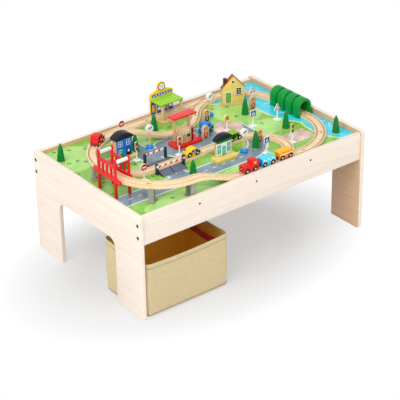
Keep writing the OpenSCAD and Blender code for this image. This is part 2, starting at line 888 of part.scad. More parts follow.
module gate_arm_front() {
  color("White") translate([crossing_x - gate_in_reach - gate_post[0] / 2, siding_y, low_z])
    gate_arm(gate_in_y, gate_in_reach);
}

module gate_arm_back() {
  color("White") translate([crossing_x + gate_reach + gate_post[0] / 2, siding_y, low_z]) rotate(180)
    gate_arm(gate_out_y, gate_reach);
}

module trees() {
  color("DarkGreen") for (p = tree_places) translate([p[0], p[1], low_z]) {
    cylinder(d = 26, h = 3);
    translate([0, 0, 3]) rotate_extrude()
      polygon([
        [0, 0], [12, 0], [14.5, 3], [11.5, 17], [13.2, 19], [9.6, 33], [11, 35], [7.4, 48], [8.6, 50], [3, 65], [0, 69]
      ]);
  }
}

module lamps() {
  for (p = lamp_places) translate([p[0], p[1], low_z]) {
    color("DodgerBlue") rotate_extrude() polygon([[0, 0], [14, 0], [14, 6], [11, 10], [0, 10]]);
    color("BurlyWood") translate([0, 0, 10]) cylinder(d = 6, h = 52);
    color("White") translate([0, -5, 77]) difference() {
      rod_y(30, 10);
      translate([0, 5, -cut - 15]) cylinder(d = 6, h = cut);
    }
  }
}

// Sign: a small foot and a post of the given height, with a plate drawn about the post's top
module sign(p, height) {
  translate([p[0], p[1], low_z]) {
    translate([-12, -12, 0]) cube([24, 24, 3]);
    translate([0, 0, 3]) cylinder(d = 5, h = height - 3);
    translate([0, -2, height]) upright(4) children();
  }
}

module signs() {
  color("White") {
    for (p = round_places) sign(p, 52) circle(13);
    for (p = square_places) sign(p, 52) translate([-12, -12]) square(24);
    for (p = triangle_places) sign(p, 48) polygon([[-15, -9], [15, -9], [0, 17]]);
    for (p = light_places) sign(p, 52) translate([-6, -14]) rounded(12, 34, 3);
  }
}

module figures() {
  color("Peru") for (p = figure_places) translate([p[0], p[1] - 5, low_z]) upright(10) {
    translate([-14, 0]) square([28, 38]);
    translate([0, 38]) circle(14);
  }
}

// Axle bores and wheel pockets of a vehicle
module running_gear(base) {
  for (x = [-base / 2, base / 2]) translate([x, 0, axle_z]) {
    translate([0, -vehicle_w, 0]) rod_y(axle_d + 2 * run_gap, 2 * vehicle_w);
    for (side = [0, 1]) mirror([0, side, 0]) translate([0, pocket_y, 0]) rod_y(wheel_d + 2 * wheel_room, vehicle_w);
  }
}

// A side view given the vehicle's width, with its running gear cut out
module vehicle_body(base) {
  difference() {
    translate([0, -vehicle_w / 2, 0]) upright(vehicle_w) children();
    running_gear(base);
  }
}

// Magnet that reaches half way to the next unit
module coupling(length) {
  translate([length / 2 - 1, 0, body_z + 6]) rod_x(coupling_d, (train_pitch - length) / 2 + 1 - coupling_gap / 2);
}

// Steam engine block with a tall cab. It faces -X.
module engine_outline() {
  translate([-engine_l / 2, body_z]) rounded(engine_l, 24, 4);
  translate([engine_l / 2 - 29, body_z + 8]) rounded(28, cab_h - 8, 5);
}

module engine() {
  color("Red") at([engine_x, front_y, 0], wheel_z) {
    difference() {
      vehicle_body(train_base) engine_outline();
      translate([engine_l / 2 - 21.5, -vehicle_w / 2 - cut, body_z + cab_h - 15])
        upright(vehicle_w + 2 * cut) rounded(13, 10, 2);
    }
    coupling(engine_l);
  }
}

// Rounded van with a coupling stub at each end
module wagon_outline() {
  translate([-wagon_l / 2, body_z]) rounded(wagon_l, wagon_h, 7);
  translate([-wagon_l / 2, body_z]) square([wagon_l, 10]);
}

module wagon(i) {
  at([train_places[i], front_y, 0], wheel_z) {
    vehicle_body(train_base) wagon_outline();
    for (side = [0, 1]) mirror([side, 0, 0]) coupling(wagon_l);
  }
}

module wagon_front() {
  color("DeepSkyBlue") wagon(1);
}

module wagon_rear() {
  color("Orange") wagon(2);
}

module red_car() {
  color("Crimson") at(red_pose, wheel_z + rise) vehicle_body(car_base) {
    translate([-29, body_z]) rounded(58, 18, 5);
    translate([-24, body_z + 8]) rounded(38, 25, 8);
  }
}

module yellow_car() {
  color("Gold") at(yellow_pose, wheel_z) vehicle_body(car_base) {
    translate([-29, body_z]) rounded(58, 14, 5);
    intersection() {
      translate([-4, body_z]) circle(25);
      translate([-32, body_z + 2]) square([64, 32]);
    }
  }
}

module blue_truck() {
  color("DodgerBlue") at(truck_pose, low_z + groove_d) vehicle_body(car_base) {
    translate([-29, body_z]) rounded(58, 20, 6);
    translate([-24, body_z + 8]) rounded(34, 30, 10);
  }
}

module lime_car() {
  color("YellowGreen") at(lime_pose, wheel_z) vehicle_body(car_base) {
    translate([-29, body_z]) rounded(58, 16, 6);
    translate([-20, body_z + 8]) rounded(36, 20, 8);
  }
}

// A pair of wheels pressed on an axle, across the track
module wheelset(pose, z, x) {
  rim = wheel_d / 2;
  at(pose, z) translate([x, 0, axle_z]) {
    color("Silver") translate([0, -axle_len / 2, 0]) rod_y(axle_d, axle_len);
    color("Black") for (side = [0, 1]) mirror([0, side, 0])
      translate([0, gauge / 2 - wheel_t / 2, 0]) rotate([-90, 0, 0]) rotate_extrude()
        polygon([
          [axle_d / 2, 0], [rim - 1, 0], [rim, 1], [rim, wheel_t - 1], [rim - 1, wheel_t],
          [rim - 4, wheel_t], [rim - 4.6, wheel_t - 0.8], [axle_d / 2, wheel_t - 0.8]
        ]);
  }
}

module train_axle(i, side) {
  wheelset([train_places[i], front_y, 0], wheel_z, side * train_base / 2);
}

module engine_axle_a() {
  train_axle(0, -1);
}

module engine_axle_b() {
  train_axle(0, 1);
}

module wagon_front_axle_a() {
  train_axle(1, -1);
}

module wagon_front_axle_b() {
  train_axle(1, 1);
}

module wagon_rear_axle_a() {
  train_axle(2, -1);
}

module wagon_rear_axle_b() {
  train_axle(2, 1);
}

module red_car_axle_a() {
  wheelset(red_pose, wheel_z + rise, -car_base / 2);
}

module red_car_axle_b() {
  wheelset(red_pose, wheel_z + rise, car_base / 2);
}

module yellow_car_axle_a() {
  wheelset(yellow_pose, wheel_z, -car_base / 2);
}

module yellow_car_axle_b() {
  wheelset(yellow_pose, wheel_z, car_base / 2);
}

module blue_truck_axle_a() {
  wheelset(truck_pose, low_z + groove_d, -car_base / 2);
}

module blue_truck_axle_b() {
  wheelset(truck_pose, low_z + groove_d, car_base / 2);
}

module lime_car_axle_a() {
  wheelset(lime_pose, wheel_z, -car_base / 2);
}

module lime_car_axle_b() {
  wheelset(lime_pose, wheel_z, car_base / 2);
}

end_panel_left();
end_panel_right();
side_rail_front();
side_rail_back();
play_board();
board_battens();
panel_bolts();
barrel_nuts();
rail_screws();
bin_shell();
bin_base();
bin_strap();
track_straights();
track_curves();
track_ramps();
track_switches();
track_piers();
bridge_sides();
bridge_bars();
tunnel();
station_platform();
station_board();
station_roof();
roof_posts();
fuel_base();
fuel_roof();
fuel_pump();
yellow_house();
blue_house();
white_house();
house_bases();
house_roofs();
crossing_ramps();
gate_arm_front();
gate_arm_back();
trees();
lamps();
signs();
figures();
engine();
wagon_front();
wagon_rear();
red_car();
yellow_car();
blue_truck();
lime_car();
engine_axle_a();
engine_axle_b();
wagon_front_axle_a();
wagon_front_axle_b();
wagon_rear_axle_a();
wagon_rear_axle_b();
red_car_axle_a();
red_car_axle_b();
yellow_car_axle_a();
yellow_car_axle_b();
blue_truck_axle_a();
blue_truck_axle_b();
lime_car_axle_a();
lime_car_axle_b();
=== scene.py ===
"""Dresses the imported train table: lacquered wood, paint, printed board and cloth bin, on a plain stage."""

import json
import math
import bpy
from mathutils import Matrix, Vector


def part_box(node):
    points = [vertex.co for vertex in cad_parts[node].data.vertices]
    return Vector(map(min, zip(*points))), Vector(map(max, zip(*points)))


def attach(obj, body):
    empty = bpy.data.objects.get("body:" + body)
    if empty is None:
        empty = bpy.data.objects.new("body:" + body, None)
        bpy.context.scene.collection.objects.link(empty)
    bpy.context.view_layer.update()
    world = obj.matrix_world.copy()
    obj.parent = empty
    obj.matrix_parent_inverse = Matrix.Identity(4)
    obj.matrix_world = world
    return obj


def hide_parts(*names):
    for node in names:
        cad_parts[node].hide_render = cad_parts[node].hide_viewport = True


bl_info = {
    "name": "Train table dresser",
    "version": (1, 0, 0),
    "blender": (4, 5, 0),
    "location": "View3D > Sidebar > Train table",
    "description": "Adds finishes, printed details and a cloth bin to a packed wooden train table",
    "category": "Object",
}

import bpy
from bpy.props import FloatProperty, FloatVectorProperty, PointerProperty
from bpy.types import Operator, Panel, PropertyGroup
from mathutils import Matrix, Vector

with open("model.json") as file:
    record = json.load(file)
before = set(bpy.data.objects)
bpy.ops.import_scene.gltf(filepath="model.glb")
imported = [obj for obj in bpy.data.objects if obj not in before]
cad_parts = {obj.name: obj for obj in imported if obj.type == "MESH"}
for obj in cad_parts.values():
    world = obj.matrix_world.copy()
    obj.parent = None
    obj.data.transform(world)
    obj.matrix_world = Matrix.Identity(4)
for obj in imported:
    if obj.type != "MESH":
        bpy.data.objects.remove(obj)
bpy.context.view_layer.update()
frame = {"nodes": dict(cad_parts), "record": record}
NODES = frame["nodes"]
BODY_OF = {n: body for body, names in frame["record"]["behaviour"]["bodies"].items() for n in names}

# Heights and places that the part's source works out, in metres
BOARD_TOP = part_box("play_board")[1].z
TRACK_TOP = BOARD_TOP + 0.012
RISE = 0.056
FRONT_LINE = -0.277
SIDING_LINE = -0.055
ENGINE_X = -0.004
TRAIN_PITCH = 0.079

# Flat shapes that overlap on the board differ in height by this step, so that no two faces coincide
LAYER = 0.00002

# How far a painted mark stands out on wood, on another mark and on that one, and how deep its foot goes
FIRST = 0.0004
SECOND = 0.0008
THIRD = 0.0012
FOOT = 0.0003

# Edges sharper than the first are eased, and faces that meet at less than the second look smooth
SHARP = math.radians(40)
SMOOTH = math.radians(35)

WHITE = (1, 1, 1, 1)


def linear(*screen):
    """A screen colour, 0 to 255, as the linear colour that a shader takes."""
    parts = [value / 255 for value in screen]
    return tuple(p / 12.92 if p <= 0.04045 else ((p + 0.055) / 1.055) ** 2.4 for p in parts)


def colour(name, description, *screen):
    """A colour that the sidebar shows."""
    return FloatVectorProperty(
        name=name, description=description, subtype="COLOR", size=3, min=0, max=1, default=linear(*screen)
    )


def length(name, description, metres):
    """A length that the sidebar shows."""
    options = {"default": metres, "min": 0, "subtype": "DISTANCE", "unit": "LENGTH"}
    return FloatProperty(name=name, description=description, **options)


def angle(name, description, degrees):
    """An angle that the sidebar shows."""
    options = {"default": math.radians(degrees), "subtype": "ANGLE", "unit": "ROTATION"}
    return FloatProperty(name=name, description=description, **options)


class TableColours(PropertyGroup):
    """Colours of the table, its board, its track and its bin."""

    panel: colour("Panels", "Lacquered wood of the end panels and rails", 242, 228, 213)
    # The inner colour is painted shade: the same wood as the outside, made darker and tanner where the table
    # shades it.
    inner: colour("Inner faces", "Same wood inside the panels and rails, darker and tanner as painted shade", 222, 186, 150)
    track: colour("Track", "Sanded wood of the track", 246, 216, 172)
    toy_wood: colour("Bare toy wood", "Posts, figures and unpainted sides", 226, 190, 140)
    grass: colour("Grass", "Main colour of the printed board", 138, 198, 74)
    meadow: colour("Meadow", "Pale fields on the board", 172, 224, 118)
    road: colour("Road", "Printed roads", 122, 146, 158)
    kerb: colour("Kerb", "Pale edges of the roads", 214, 228, 238)
    water: colour("Water", "Printed lake", 62, 222, 250)
    shore: colour("Shore", "Edge of the lake", 226, 232, 160)
    paving: colour("Paving", "Printed squares", 222, 190, 176)
    cloth: colour("Bin cloth", "Outside of the bin", 240, 226, 180)
    lining: colour("Bin lining", "Inside of the bin", 255, 198, 62)
    strap: colour("Bin strap", "Strap across the bin", 214, 26, 34)


class ToyColours(PropertyGroup):
    """Paint colours of the toys."""

    red: colour("Red", "Engine, bridge and fuel stop", 222, 30, 30)
    dark_red: colour("Dark red", "Fuel nozzle and clock rim", 142, 16, 20)
    yellow: colour("Yellow", "Station board and round car", 250, 206, 30)
    cream: colour("Cream", "Tall house and house bases", 241, 210, 112)
    orange: colour("Orange", "Last wagon", 245, 142, 22)
    lime: colour("Lime", "Station roof and low car", 140, 190, 50)
    leaf: colour("Leaf green", "House door", 122, 170, 76)
    green: colour("Green", "Trees", 2, 128, 50)
    tunnel: colour("Tunnel green", "Moulded tunnel", 0, 148, 56)
    teal: colour("Teal", "White house's windows", 40, 184, 158)
    cyan: colour("Cyan", "Middle wagon", 88, 214, 234)
    sky: colour("Sky blue", "Truck and lamp feet", 6, 136, 236)
    azure: colour("Azure", "Blue house", 8, 126, 214)
    blue: colour("Blue", "Square signs and small windows", 16, 92, 190)
    white: colour("White", "Signs, lamps and gate arms", 244, 244, 240)
    black: colour("Black", "Arched roofs and tyres", 26, 28, 34)
    grey: colour("Grey", "Gate posts and pump marks", 52, 60, 72)
    slate: colour("Slate", "Sloping plates of the crossing", 104, 114, 128)
    pier: colour("Pier grey", "Piers under the raised track", 152, 152, 140)
    brown: colour("Brown", "Tall house's roof", 176, 74, 42)
    dark_brown: colour("Dark brown", "Chimney", 92, 44, 30)
    skin: colour("Skin", "Heads of the figures", 226, 172, 130)
    amber: colour("Amber", "Middle signal light", 250, 190, 20)


class Edges(PropertyGroup):
    """How far sharp edges are eased."""

    panel: length("Panels", "Rounding of the panels' and rails' edges", 0.0025)
    track: length("Track", "Rounding of the track's edges", 0.0007)
    toy: length("Toys", "Rounding of the toys' edges", 0.0009)
    small: length("Small pieces", "Rounding of signs and gates", 0.0004)


class BinSizes(PropertyGroup):
    """Sizes of the cloth bin."""

    hem: length("Hem", "Depth of the hem", 0.018)
    bow: length("Bow", "How far the walls swell", 0.0035)
    crease: length("Creases", "Depth of the creases", 0.0016)
    stitch: length("Stitch", "Length of one stitch", 0.0042)
    corner: length("Corner", "Radius of the upright corners", 0.018)
    sag: length("Sag", "How far the rim hangs down between the corners", 0.007)


class StageSettings(PropertyGroup):
    """Camera and light."""

    lens: FloatProperty(name="Lens", description="Focal length in millimetres", default=140.26, min=20)
    distance: length("Distance", "Camera distance", 5.4736)
    azimuth: angle("Azimuth", "How far round the table the camera stands", -37.49)
    rise: angle("Rise", "How steeply the camera looks down", 28.87)
    roll: angle("Roll", "How far the camera is tipped", -1.02)
    target: FloatVectorProperty(
        name="Target",
        description="Point that the camera looks at",
        default=(-0.1045, -0.129, 0.247),
        subtype="TRANSLATION",
        unit="LENGTH",
    )
    sky: FloatProperty(name="Sky light", description="Strength of the even light", default=0.7, min=0)
    lamp: FloatProperty(name="Lamp", description="Power of the main lamp", default=100, min=0, unit="POWER")


class TrainTableSettings(PropertyGroup):
    """All settings of the train table."""

    table: PointerProperty(type=TableColours, name="Table colours", description="Wood, print and cloth")
    toys: PointerProperty(type=ToyColours, name="Toy colours", description="Paint")
    edges: PointerProperty(type=Edges, name="Edges", description="Eased edges")
    bin: PointerProperty(type=BinSizes, name="Bin", description="Cloth bin")
    stage: PointerProperty(type=StageSettings, name="Stage", description="Camera and light")


def settings():
    """The scene's own settings."""
    return bpy.context.scene.train_table


def deselect():
    """Leaves edit mode and clears the selection."""
    if bpy.context.object and bpy.context.object.mode != "OBJECT":
        bpy.ops.object.mode_set(mode="OBJECT")
    bpy.ops.object.select_all(action="DESELECT")


def choose(*pieces):
    """Selects only these pieces, with the first one active."""
    deselect()
    for piece in pieces:
        piece.select_set(True)
    bpy.context.view_layer.objects.active = pieces[0]


def close_up():
    """Ends edit mode with the mesh merged and its faces pointing out."""
    bpy.ops.mesh.select_all(action="SELECT")
    bpy.ops.mesh.remove_doubles(threshold=1e-6)
    bpy.ops.mesh.normals_make_consistent(inside=False)
    bpy.ops.object.mode_set(mode="OBJECT")


def new_piece(name):
    """Names the object that an operator has just added, and opens it for editing."""
    piece = bpy.context.object
    piece.name = name
    piece.data.name = name
    bpy.ops.object.mode_set(mode="EDIT")
    bpy.ops.mesh.select_all(action="SELECT")
    return piece


def thicken(thickness, edge):
    """Raises the selected face into a plate with an eased rim, and closes it."""
    bpy.ops.mesh.extrude_region_move(TRANSFORM_OT_translate={"value": (0, 0, thickness)})
    if edge:
        bpy.ops.mesh.bevel(offset=edge, segments=2, affect="EDGES", clamp_overlap=True)
    close_up()


SHAPES = {}


def copied(name, key):
    """A copy of a shape that has been modelled before, or None."""
    if key not in SHAPES:
        return None
    piece = bpy.data.objects.new(name, SHAPES[key].copy())
    bpy.context.scene.collection.objects.link(piece)
    return piece


def slab(name, width, height, thickness, corner=0.0, edge=0.0):
    """A plate about zero in the XY plane, with round corners."""
    key = ("slab", width, height, thickness, corner, edge)
    piece = copied(name, key)
    if piece:
        return piece
    deselect()
    bpy.ops.mesh.primitive_plane_add(size=1)
    piece = new_piece(name)
    bpy.ops.transform.resize(value=(width, height, 1))
    if corner:
        bpy.ops.mesh.bevel(offset=corner, segments=5, affect="VERTICES", clamp_overlap=True)
        bpy.ops.mesh.select_all(action="SELECT")
    thicken(thickness, edge)
    SHAPES[key] = piece.data.copy()
    return piece


def disc(name, radius, thickness, edge=0.0, sides=32):
    """A round plate about zero in the XY plane."""
    key = ("disc", radius, thickness, edge, sides)
    piece = copied(name, key)
    if piece:
        return piece
    deselect()
    bpy.ops.mesh.primitive_circle_add(vertices=sides, radius=radius, fill_type="NGON")
    piece = new_piece(name)
    thicken(thickness, edge)
    SHAPES[key] = piece.data.copy()
    return piece


def ring(name, outer, inner, thickness, sides=40):
    """A flat ring about zero in the XY plane."""
    deselect()
    bpy.ops.mesh.primitive_circle_add(vertices=sides, radius=outer, fill_type="NGON")
    piece = new_piece(name)
    bpy.ops.mesh.inset(thickness=outer - inner, depth=0)
    bpy.ops.mesh.delete(type="FACE")
    bpy.ops.mesh.select_all(action="SELECT")
    thicken(thickness, 0)
    return piece


def pond(name, centre, reach, thickness, sides=64):
    """A flat oval on the board, cut off at the board's edges."""
    deselect()
    bpy.ops.mesh.primitive_circle_add(vertices=sides, radius=1, fill_type="NGON")
    piece = bpy.context.object
    piece.scale = (reach[0], reach[1], 1)
    piece.location = (centre[0], centre[1], BOARD_TOP)
    bpy.ops.object.transform_apply(location=True, rotation=True, scale=True)
    new_piece(name)
    low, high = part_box("play_board")
    for spot, way in ((low, (-1, 0, 0)), (low, (0, -1, 0)), (high, (1, 0, 0)), (high, (0, 1, 0))):
        bpy.ops.mesh.select_all(action="SELECT")
        bpy.ops.mesh.bisect(plane_co=spot, plane_no=way, clear_outer=True)
    bpy.ops.mesh.select_all(action="SELECT")
    thicken(thickness, 0)
    return piece


def ribbon(name, start, heading, width, moves, thickness):
    """A flat band on the board. The first move is a straight length; a turn has a radius and an angle."""
    deselect()
    way = math.radians(heading)
    ahead = Vector((math.cos(way), math.sin(way), 0))
    spot = Vector((start[0], start[1], BOARD_TOP))
    bpy.ops.mesh.primitive_plane_add(size=1)
    piece = bpy.context.object
    piece.scale = (moves[0], width, 1)
    piece.rotation_euler = (0, 0, way)
    piece.location = spot + ahead * moves[0] / 2
    bpy.ops.object.transform_apply(location=True, rotation=True, scale=True)
    spot = spot + ahead * moves[0]
    new_piece(name)
    for move in moves[1:]:
        pick_edge(piece, spot, width * 0.55)
        ahead = Vector((math.cos(way), math.sin(way), 0))
        if isinstance(move, tuple):
            radius, degrees = move
            turn = math.radians(degrees)
            left = Vector((-ahead.y, ahead.x, 0)) * math.copysign(radius, turn)
            steps = max(4, int(abs(degrees) / 5))
            bpy.ops.mesh.spin(steps=steps, angle=-turn, center=spot + left, axis=(0, 0, 1))
            spot = spot + left + Matrix.Rotation(turn, 3, "Z") @ (-left)
            way += turn
        else:
            bpy.ops.mesh.extrude_edges_move(TRANSFORM_OT_translate={"value": ahead * move})
            spot = spot + ahead * move
    bpy.ops.mesh.select_mode(type="VERT")
    bpy.ops.mesh.select_all(action="SELECT")
    bpy.ops.mesh.remove_doubles(threshold=1e-6)
    bpy.ops.mesh.normals_make_consistent(inside=False)
    bpy.ops.mesh.select_all(action="SELECT")
    thicken(thickness, 0)
    return piece


def pick_edge(piece, spot, reach):
    """Selects the edge whose two ends lie within reach of a spot, in edit mode."""
    bpy.ops.mesh.select_mode(type="EDGE")
    bpy.ops.mesh.select_all(action="DESELECT")
    bpy.ops.object.mode_set(mode="OBJECT")
    corners = piece.data.vertices
    near = [(corners[i].co - spot).length < reach for i in range(len(corners))]
    middle = {}
    for line in piece.data.edges:
        first, last = line.vertices
        if near[first] and near[last]:
            middle[line.index] = ((corners[first].co + corners[last].co) / 2 - spot).length
    piece.data.edges[min(middle, key=middle.get)].select = True
    bpy.ops.object.mode_set(mode="EDIT")


def local(spot, heading):
    """The frame of a thing that stands at a spot and is turned by a heading."""
    return Matrix.Translation((spot[0], spot[1], 0)) @ Matrix.Rotation(math.radians(heading), 4, "Z")


def facing(x, y, z, turn=0.0):
    """A frame on an upright face that looks towards -Y before its turn, with X right, Y up and Z out."""
    upright = Matrix(((1, 0, 0, 0), (0, 0, -1, 0), (0, 1, 0, 0), (0, 0, 0, 1)))
    return Matrix.Translation((x, y, z)) @ Matrix.Rotation(math.radians(turn), 4, "Z") @ upright


def lying(x, y, z, turn=0.0):
    """A frame on a level face."""
    return Matrix.Translation((x, y, z)) @ Matrix.Rotation(math.radians(turn), 4, "Z")


def put(piece, where, across=0.0, up=0.0, out=0.0, spin=0.0):
    """Moves a piece to a place on a frame, and into its mesh."""
    spot = Matrix.Translation((across, up, out)) @ Matrix.Rotation(math.radians(spin), 4, "Z")
    piece.matrix_world = where @ spot
    choose(piece)
    bpy.ops.object.transform_apply(location=True, rotation=True, scale=True)
    return piece


def settle(name, pieces, material, body):
    """Joins small shapes of one finish into one piece that rides on a body."""
    choose(*pieces)
    if len(pieces) > 1:
        bpy.ops.object.join()
    piece = bpy.context.object
    piece.name = name
    piece.data.name = name
    piece.data.materials.clear()
    piece.data.materials.append(material)
    bpy.ops.object.shade_smooth_by_angle(angle=SMOOTH)
    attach(piece, body)
    return piece


def surface(name, roughness, coat=0.0, sheen=0.0, shine=0.5):
    """A material with an empty shader, and its tree."""
    material = bpy.data.materials.new(name)
    material.use_nodes = True
    tree = material.node_tree
    tree.nodes.clear()
    output = tree.nodes.new("ShaderNodeOutputMaterial")
    gloss = tree.nodes.new("ShaderNodeBsdfPrincipled")
    gloss.inputs["Roughness"].default_value = roughness
    gloss.inputs["Specular IOR Level"].default_value = shine
    gloss.inputs["Coat Weight"].default_value = coat
    gloss.inputs["Coat Roughness"].default_value = 0.2
    gloss.inputs["Sheen Weight"].default_value = sheen
    tree.links.new(gloss.outputs["BSDF"], output.inputs["Surface"])
    return material, tree, gloss


def add(tree, kind, inputs=None, **options):
    """A node with its options set and its inputs filled or linked."""
    made = tree.nodes.new(kind)
    for option, value in options.items():
        setattr(made, option, value)
    for socket, value in (inputs or {}).items():
        if isinstance(value, bpy.types.NodeSocket):
            tree.links.new(value, made.inputs[socket])
        else:
            made.inputs[socket].default_value = value
    return made


def work(tree, operation, *values):
    """One step of arithmetic on numbers and sockets."""
    return add(tree, "ShaderNodeMath", dict(enumerate(values)), operation=operation).outputs["Value"]


def blend(tree, share, first, second):
    """Two shaders mixed by a share of the second."""
    mix = add(tree, "ShaderNodeMixShader", {0: share, 1: first.outputs[0], 2: second.outputs[0]})
    return mix.outputs[0]


def show(tree, shader):
    """Gives a material's output another shader."""
    output = next(node for node in tree.nodes if node.type == "OUTPUT_MATERIAL")
    tree.links.new(shader, output.inputs["Surface"])


def piece_coords(tree):
    """Object coordinates."""
    return add(tree, "ShaderNodeTexCoord").outputs["Object"]


def coords(tree, scale=(1, 1, 1)):
    """Object coordinates, scaled."""
    return add(tree, "ShaderNodeMapping", {"Vector": piece_coords(tree), "Scale": scale}).outputs["Vector"]


def speckle(tree, vector, scale, detail=3.0, distortion=0.0):
    """Cloudy noise from 0 to 1."""
    inputs = {"Vector": vector, "Scale": scale, "Detail": detail, "Distortion": distortion}
    return add(tree, "ShaderNodeTexNoise", inputs).outputs["Fac"]


def two_tone(tree, factor, dark, light, low=0.3, high=0.7):
    """A blend from a dark to a light colour."""
    ramp = add(tree, "ShaderNodeValToRGB", {"Fac": factor})
    first, last = ramp.color_ramp.elements
    first.position, first.color = low, (*dark, 1)
    last.position, last.color = high, (*light, 1)
    return ramp.outputs["Color"]


def multiply(tree, first, second, factor=1.0):
    """Two colours multiplied."""
    mix = add(tree, "ShaderNodeMix", {"Factor": factor}, data_type="RGBA", blend_type="MULTIPLY")
    tree.links.new(first, mix.inputs["A"])
    tree.links.new(second, mix.inputs["B"])
    return mix.outputs["Result"]


def relief(tree, gloss, height, strength, depth):
    """Bump from a height."""
    bump = add(tree, "ShaderNodeBump", {"Height": height, "Strength": strength, "Distance": depth})
    tree.links.new(bump.outputs["Normal"], gloss.inputs["Normal"])


def shade(base, factor):
    """A colour made darker or lighter."""
    return tuple(min(1.0, value * factor) for value in base)


def wood(name, base, along="X", fine=1.0, contrast=0.16, roughness=0.42):
    """Lacquered wood with its grain along an axis."""
    material, tree, gloss = surface(name, roughness, coat=0.12)
    stretch = {"X": (3, 60, 60), "Y": (60, 3, 60), "Z": (60, 60, 3)}[along]
    vector = coords(tree, tuple(value * fine for value in stretch))
    grain = speckle(tree, vector, 1.0, 6.0, 0.8)
    pale = two_tone(tree, grain, shade(base, 1 - contrast), shade(base, 1 + contrast * 0.25), 0.32, 0.62)
    pores = speckle(tree, coords(tree, tuple(value * fine * 9 for value in stretch)), 1.0, 2.0)
    flecks = two_tone(tree, pores, (0.86, 0.8, 0.72), (1, 1, 1), 0.28, 0.42)
    tree.links.new(multiply(tree, pale, flecks, 0.55), gloss.inputs["Base Color"])
    relief(tree, gloss, pores, 0.12, 0.0002)
    return material


def paint(name, base, roughness=0.34, coat=0.08):
    """Gloss paint on wood, a little uneven."""
    material, tree, gloss = surface(name, roughness, coat, shine=0.2)
    cloud = speckle(tree, coords(tree), 55.0, 4.0)
    tree.links.new(two_tone(tree, cloud, shade(base, 0.9), shade(base, 1.05)), gloss.inputs["Base Color"])
    peel = speckle(tree, coords(tree), 900.0, 2.0)
    relief(tree, gloss, peel, 0.1, 0.00012)
    return material


def ink(name, base, mottle=0.06, roughness=0.12):
    """Print under a gloss film, with a fine dot screen."""
    material, tree, gloss = surface(name, roughness, shine=0.5)
    cloud = speckle(tree, coords(tree), 22.0, 5.0)
    wide = two_tone(tree, cloud, shade(base, 1 - mottle), shade(base, 1 + mottle), 0.35, 0.65)
    dots = add(tree, "ShaderNodeTexVoronoi", {"Vector": coords(tree), "Scale": 900.0})
    screen = two_tone(tree, dots.outputs["Distance"], (0.95, 0.95, 0.95), (1, 1, 1), 0.1, 0.5)
    tree.links.new(multiply(tree, wide, screen), gloss.inputs["Base Color"])
    relief(tree, gloss, speckle(tree, coords(tree), 300.0, 2.0), 0.05, 0.0001)
    return material


def cloth(name, base, pitch=0.0016):
    """Plain weave, its threads running up and round."""
    material, tree, gloss = surface(name, 0.85, sheen=0.25)
    split = add(tree, "ShaderNodeSeparateXYZ", {"Vector": piece_coords(tree)})
    around = work(tree, "ADD", split.outputs["X"], split.outputs["Y"])
    threads = []
    for source in (around, split.outputs["Z"]):
        turn = work(tree, "MULTIPLY", source, math.tau / pitch)
        threads.append(work(tree, "SINE", turn))
    weave = work(tree, "MULTIPLY", *threads)
    level = work(tree, "MULTIPLY_ADD", weave, 0.5, 0.5)
    slub = speckle(tree, coords(tree, (40, 40, 400)), 1.0, 3.0)
    tone = two_tone(tree, slub, shade(base, 0.86), shade(base, 1.06), 0.3, 0.7)
    holes = two_tone(tree, level, (0.78, 0.76, 0.72), (1, 1, 1), 0.05, 0.6)
    tree.links.new(multiply(tree, tone, holes), gloss.inputs["Base Color"])
    relief(tree, gloss, level, 0.35, 0.0004)
    thin = add(tree, "ShaderNodeBsdfTranslucent", {"Color": (*shade(base, 1.0), 1)})
    show(tree, blend(tree, 0.3, gloss, thin))
    return material


def metal(name, base, roughness=0.4):
    """Dull plated steel."""
    material, tree, gloss = surface(name, roughness)
    gloss.inputs["Metallic"].default_value = 1.0
    scuff = speckle(tree, coords(tree), 700.0, 4.0)
    tree.links.new(two_tone(tree, scuff, shade(base, 0.7), base), gloss.inputs["Base Color"])
    relief(tree, gloss, scuff, 0.1, 0.0001)
    return material


FINISHES = {}


def finish(name):
    """A paint or bare wood by its name in the settings, made once."""
    if name not in FINISHES:
        toys = settings().toys
        table = settings().table
        if name == "toy_wood":
            FINISHES[name] = wood("bare_toy_wood", table.toy_wood, "Z", 3.0, 0.2, 0.5)
        elif name == "tyre":
            FINISHES[name] = paint("tyre_black", toys.black, 0.5, 0.05)
        elif name == "hub":
            FINISHES[name] = wood("hub_wood", table.track, "Z", 4.0, 0.15, 0.5)
        elif name == "steel":
            FINISHES[name] = metal("axle_steel", linear(150, 150, 152))
        else:
            FINISHES[name] = paint(name + "_paint", getattr(toys, name))
    return FINISHES[name]


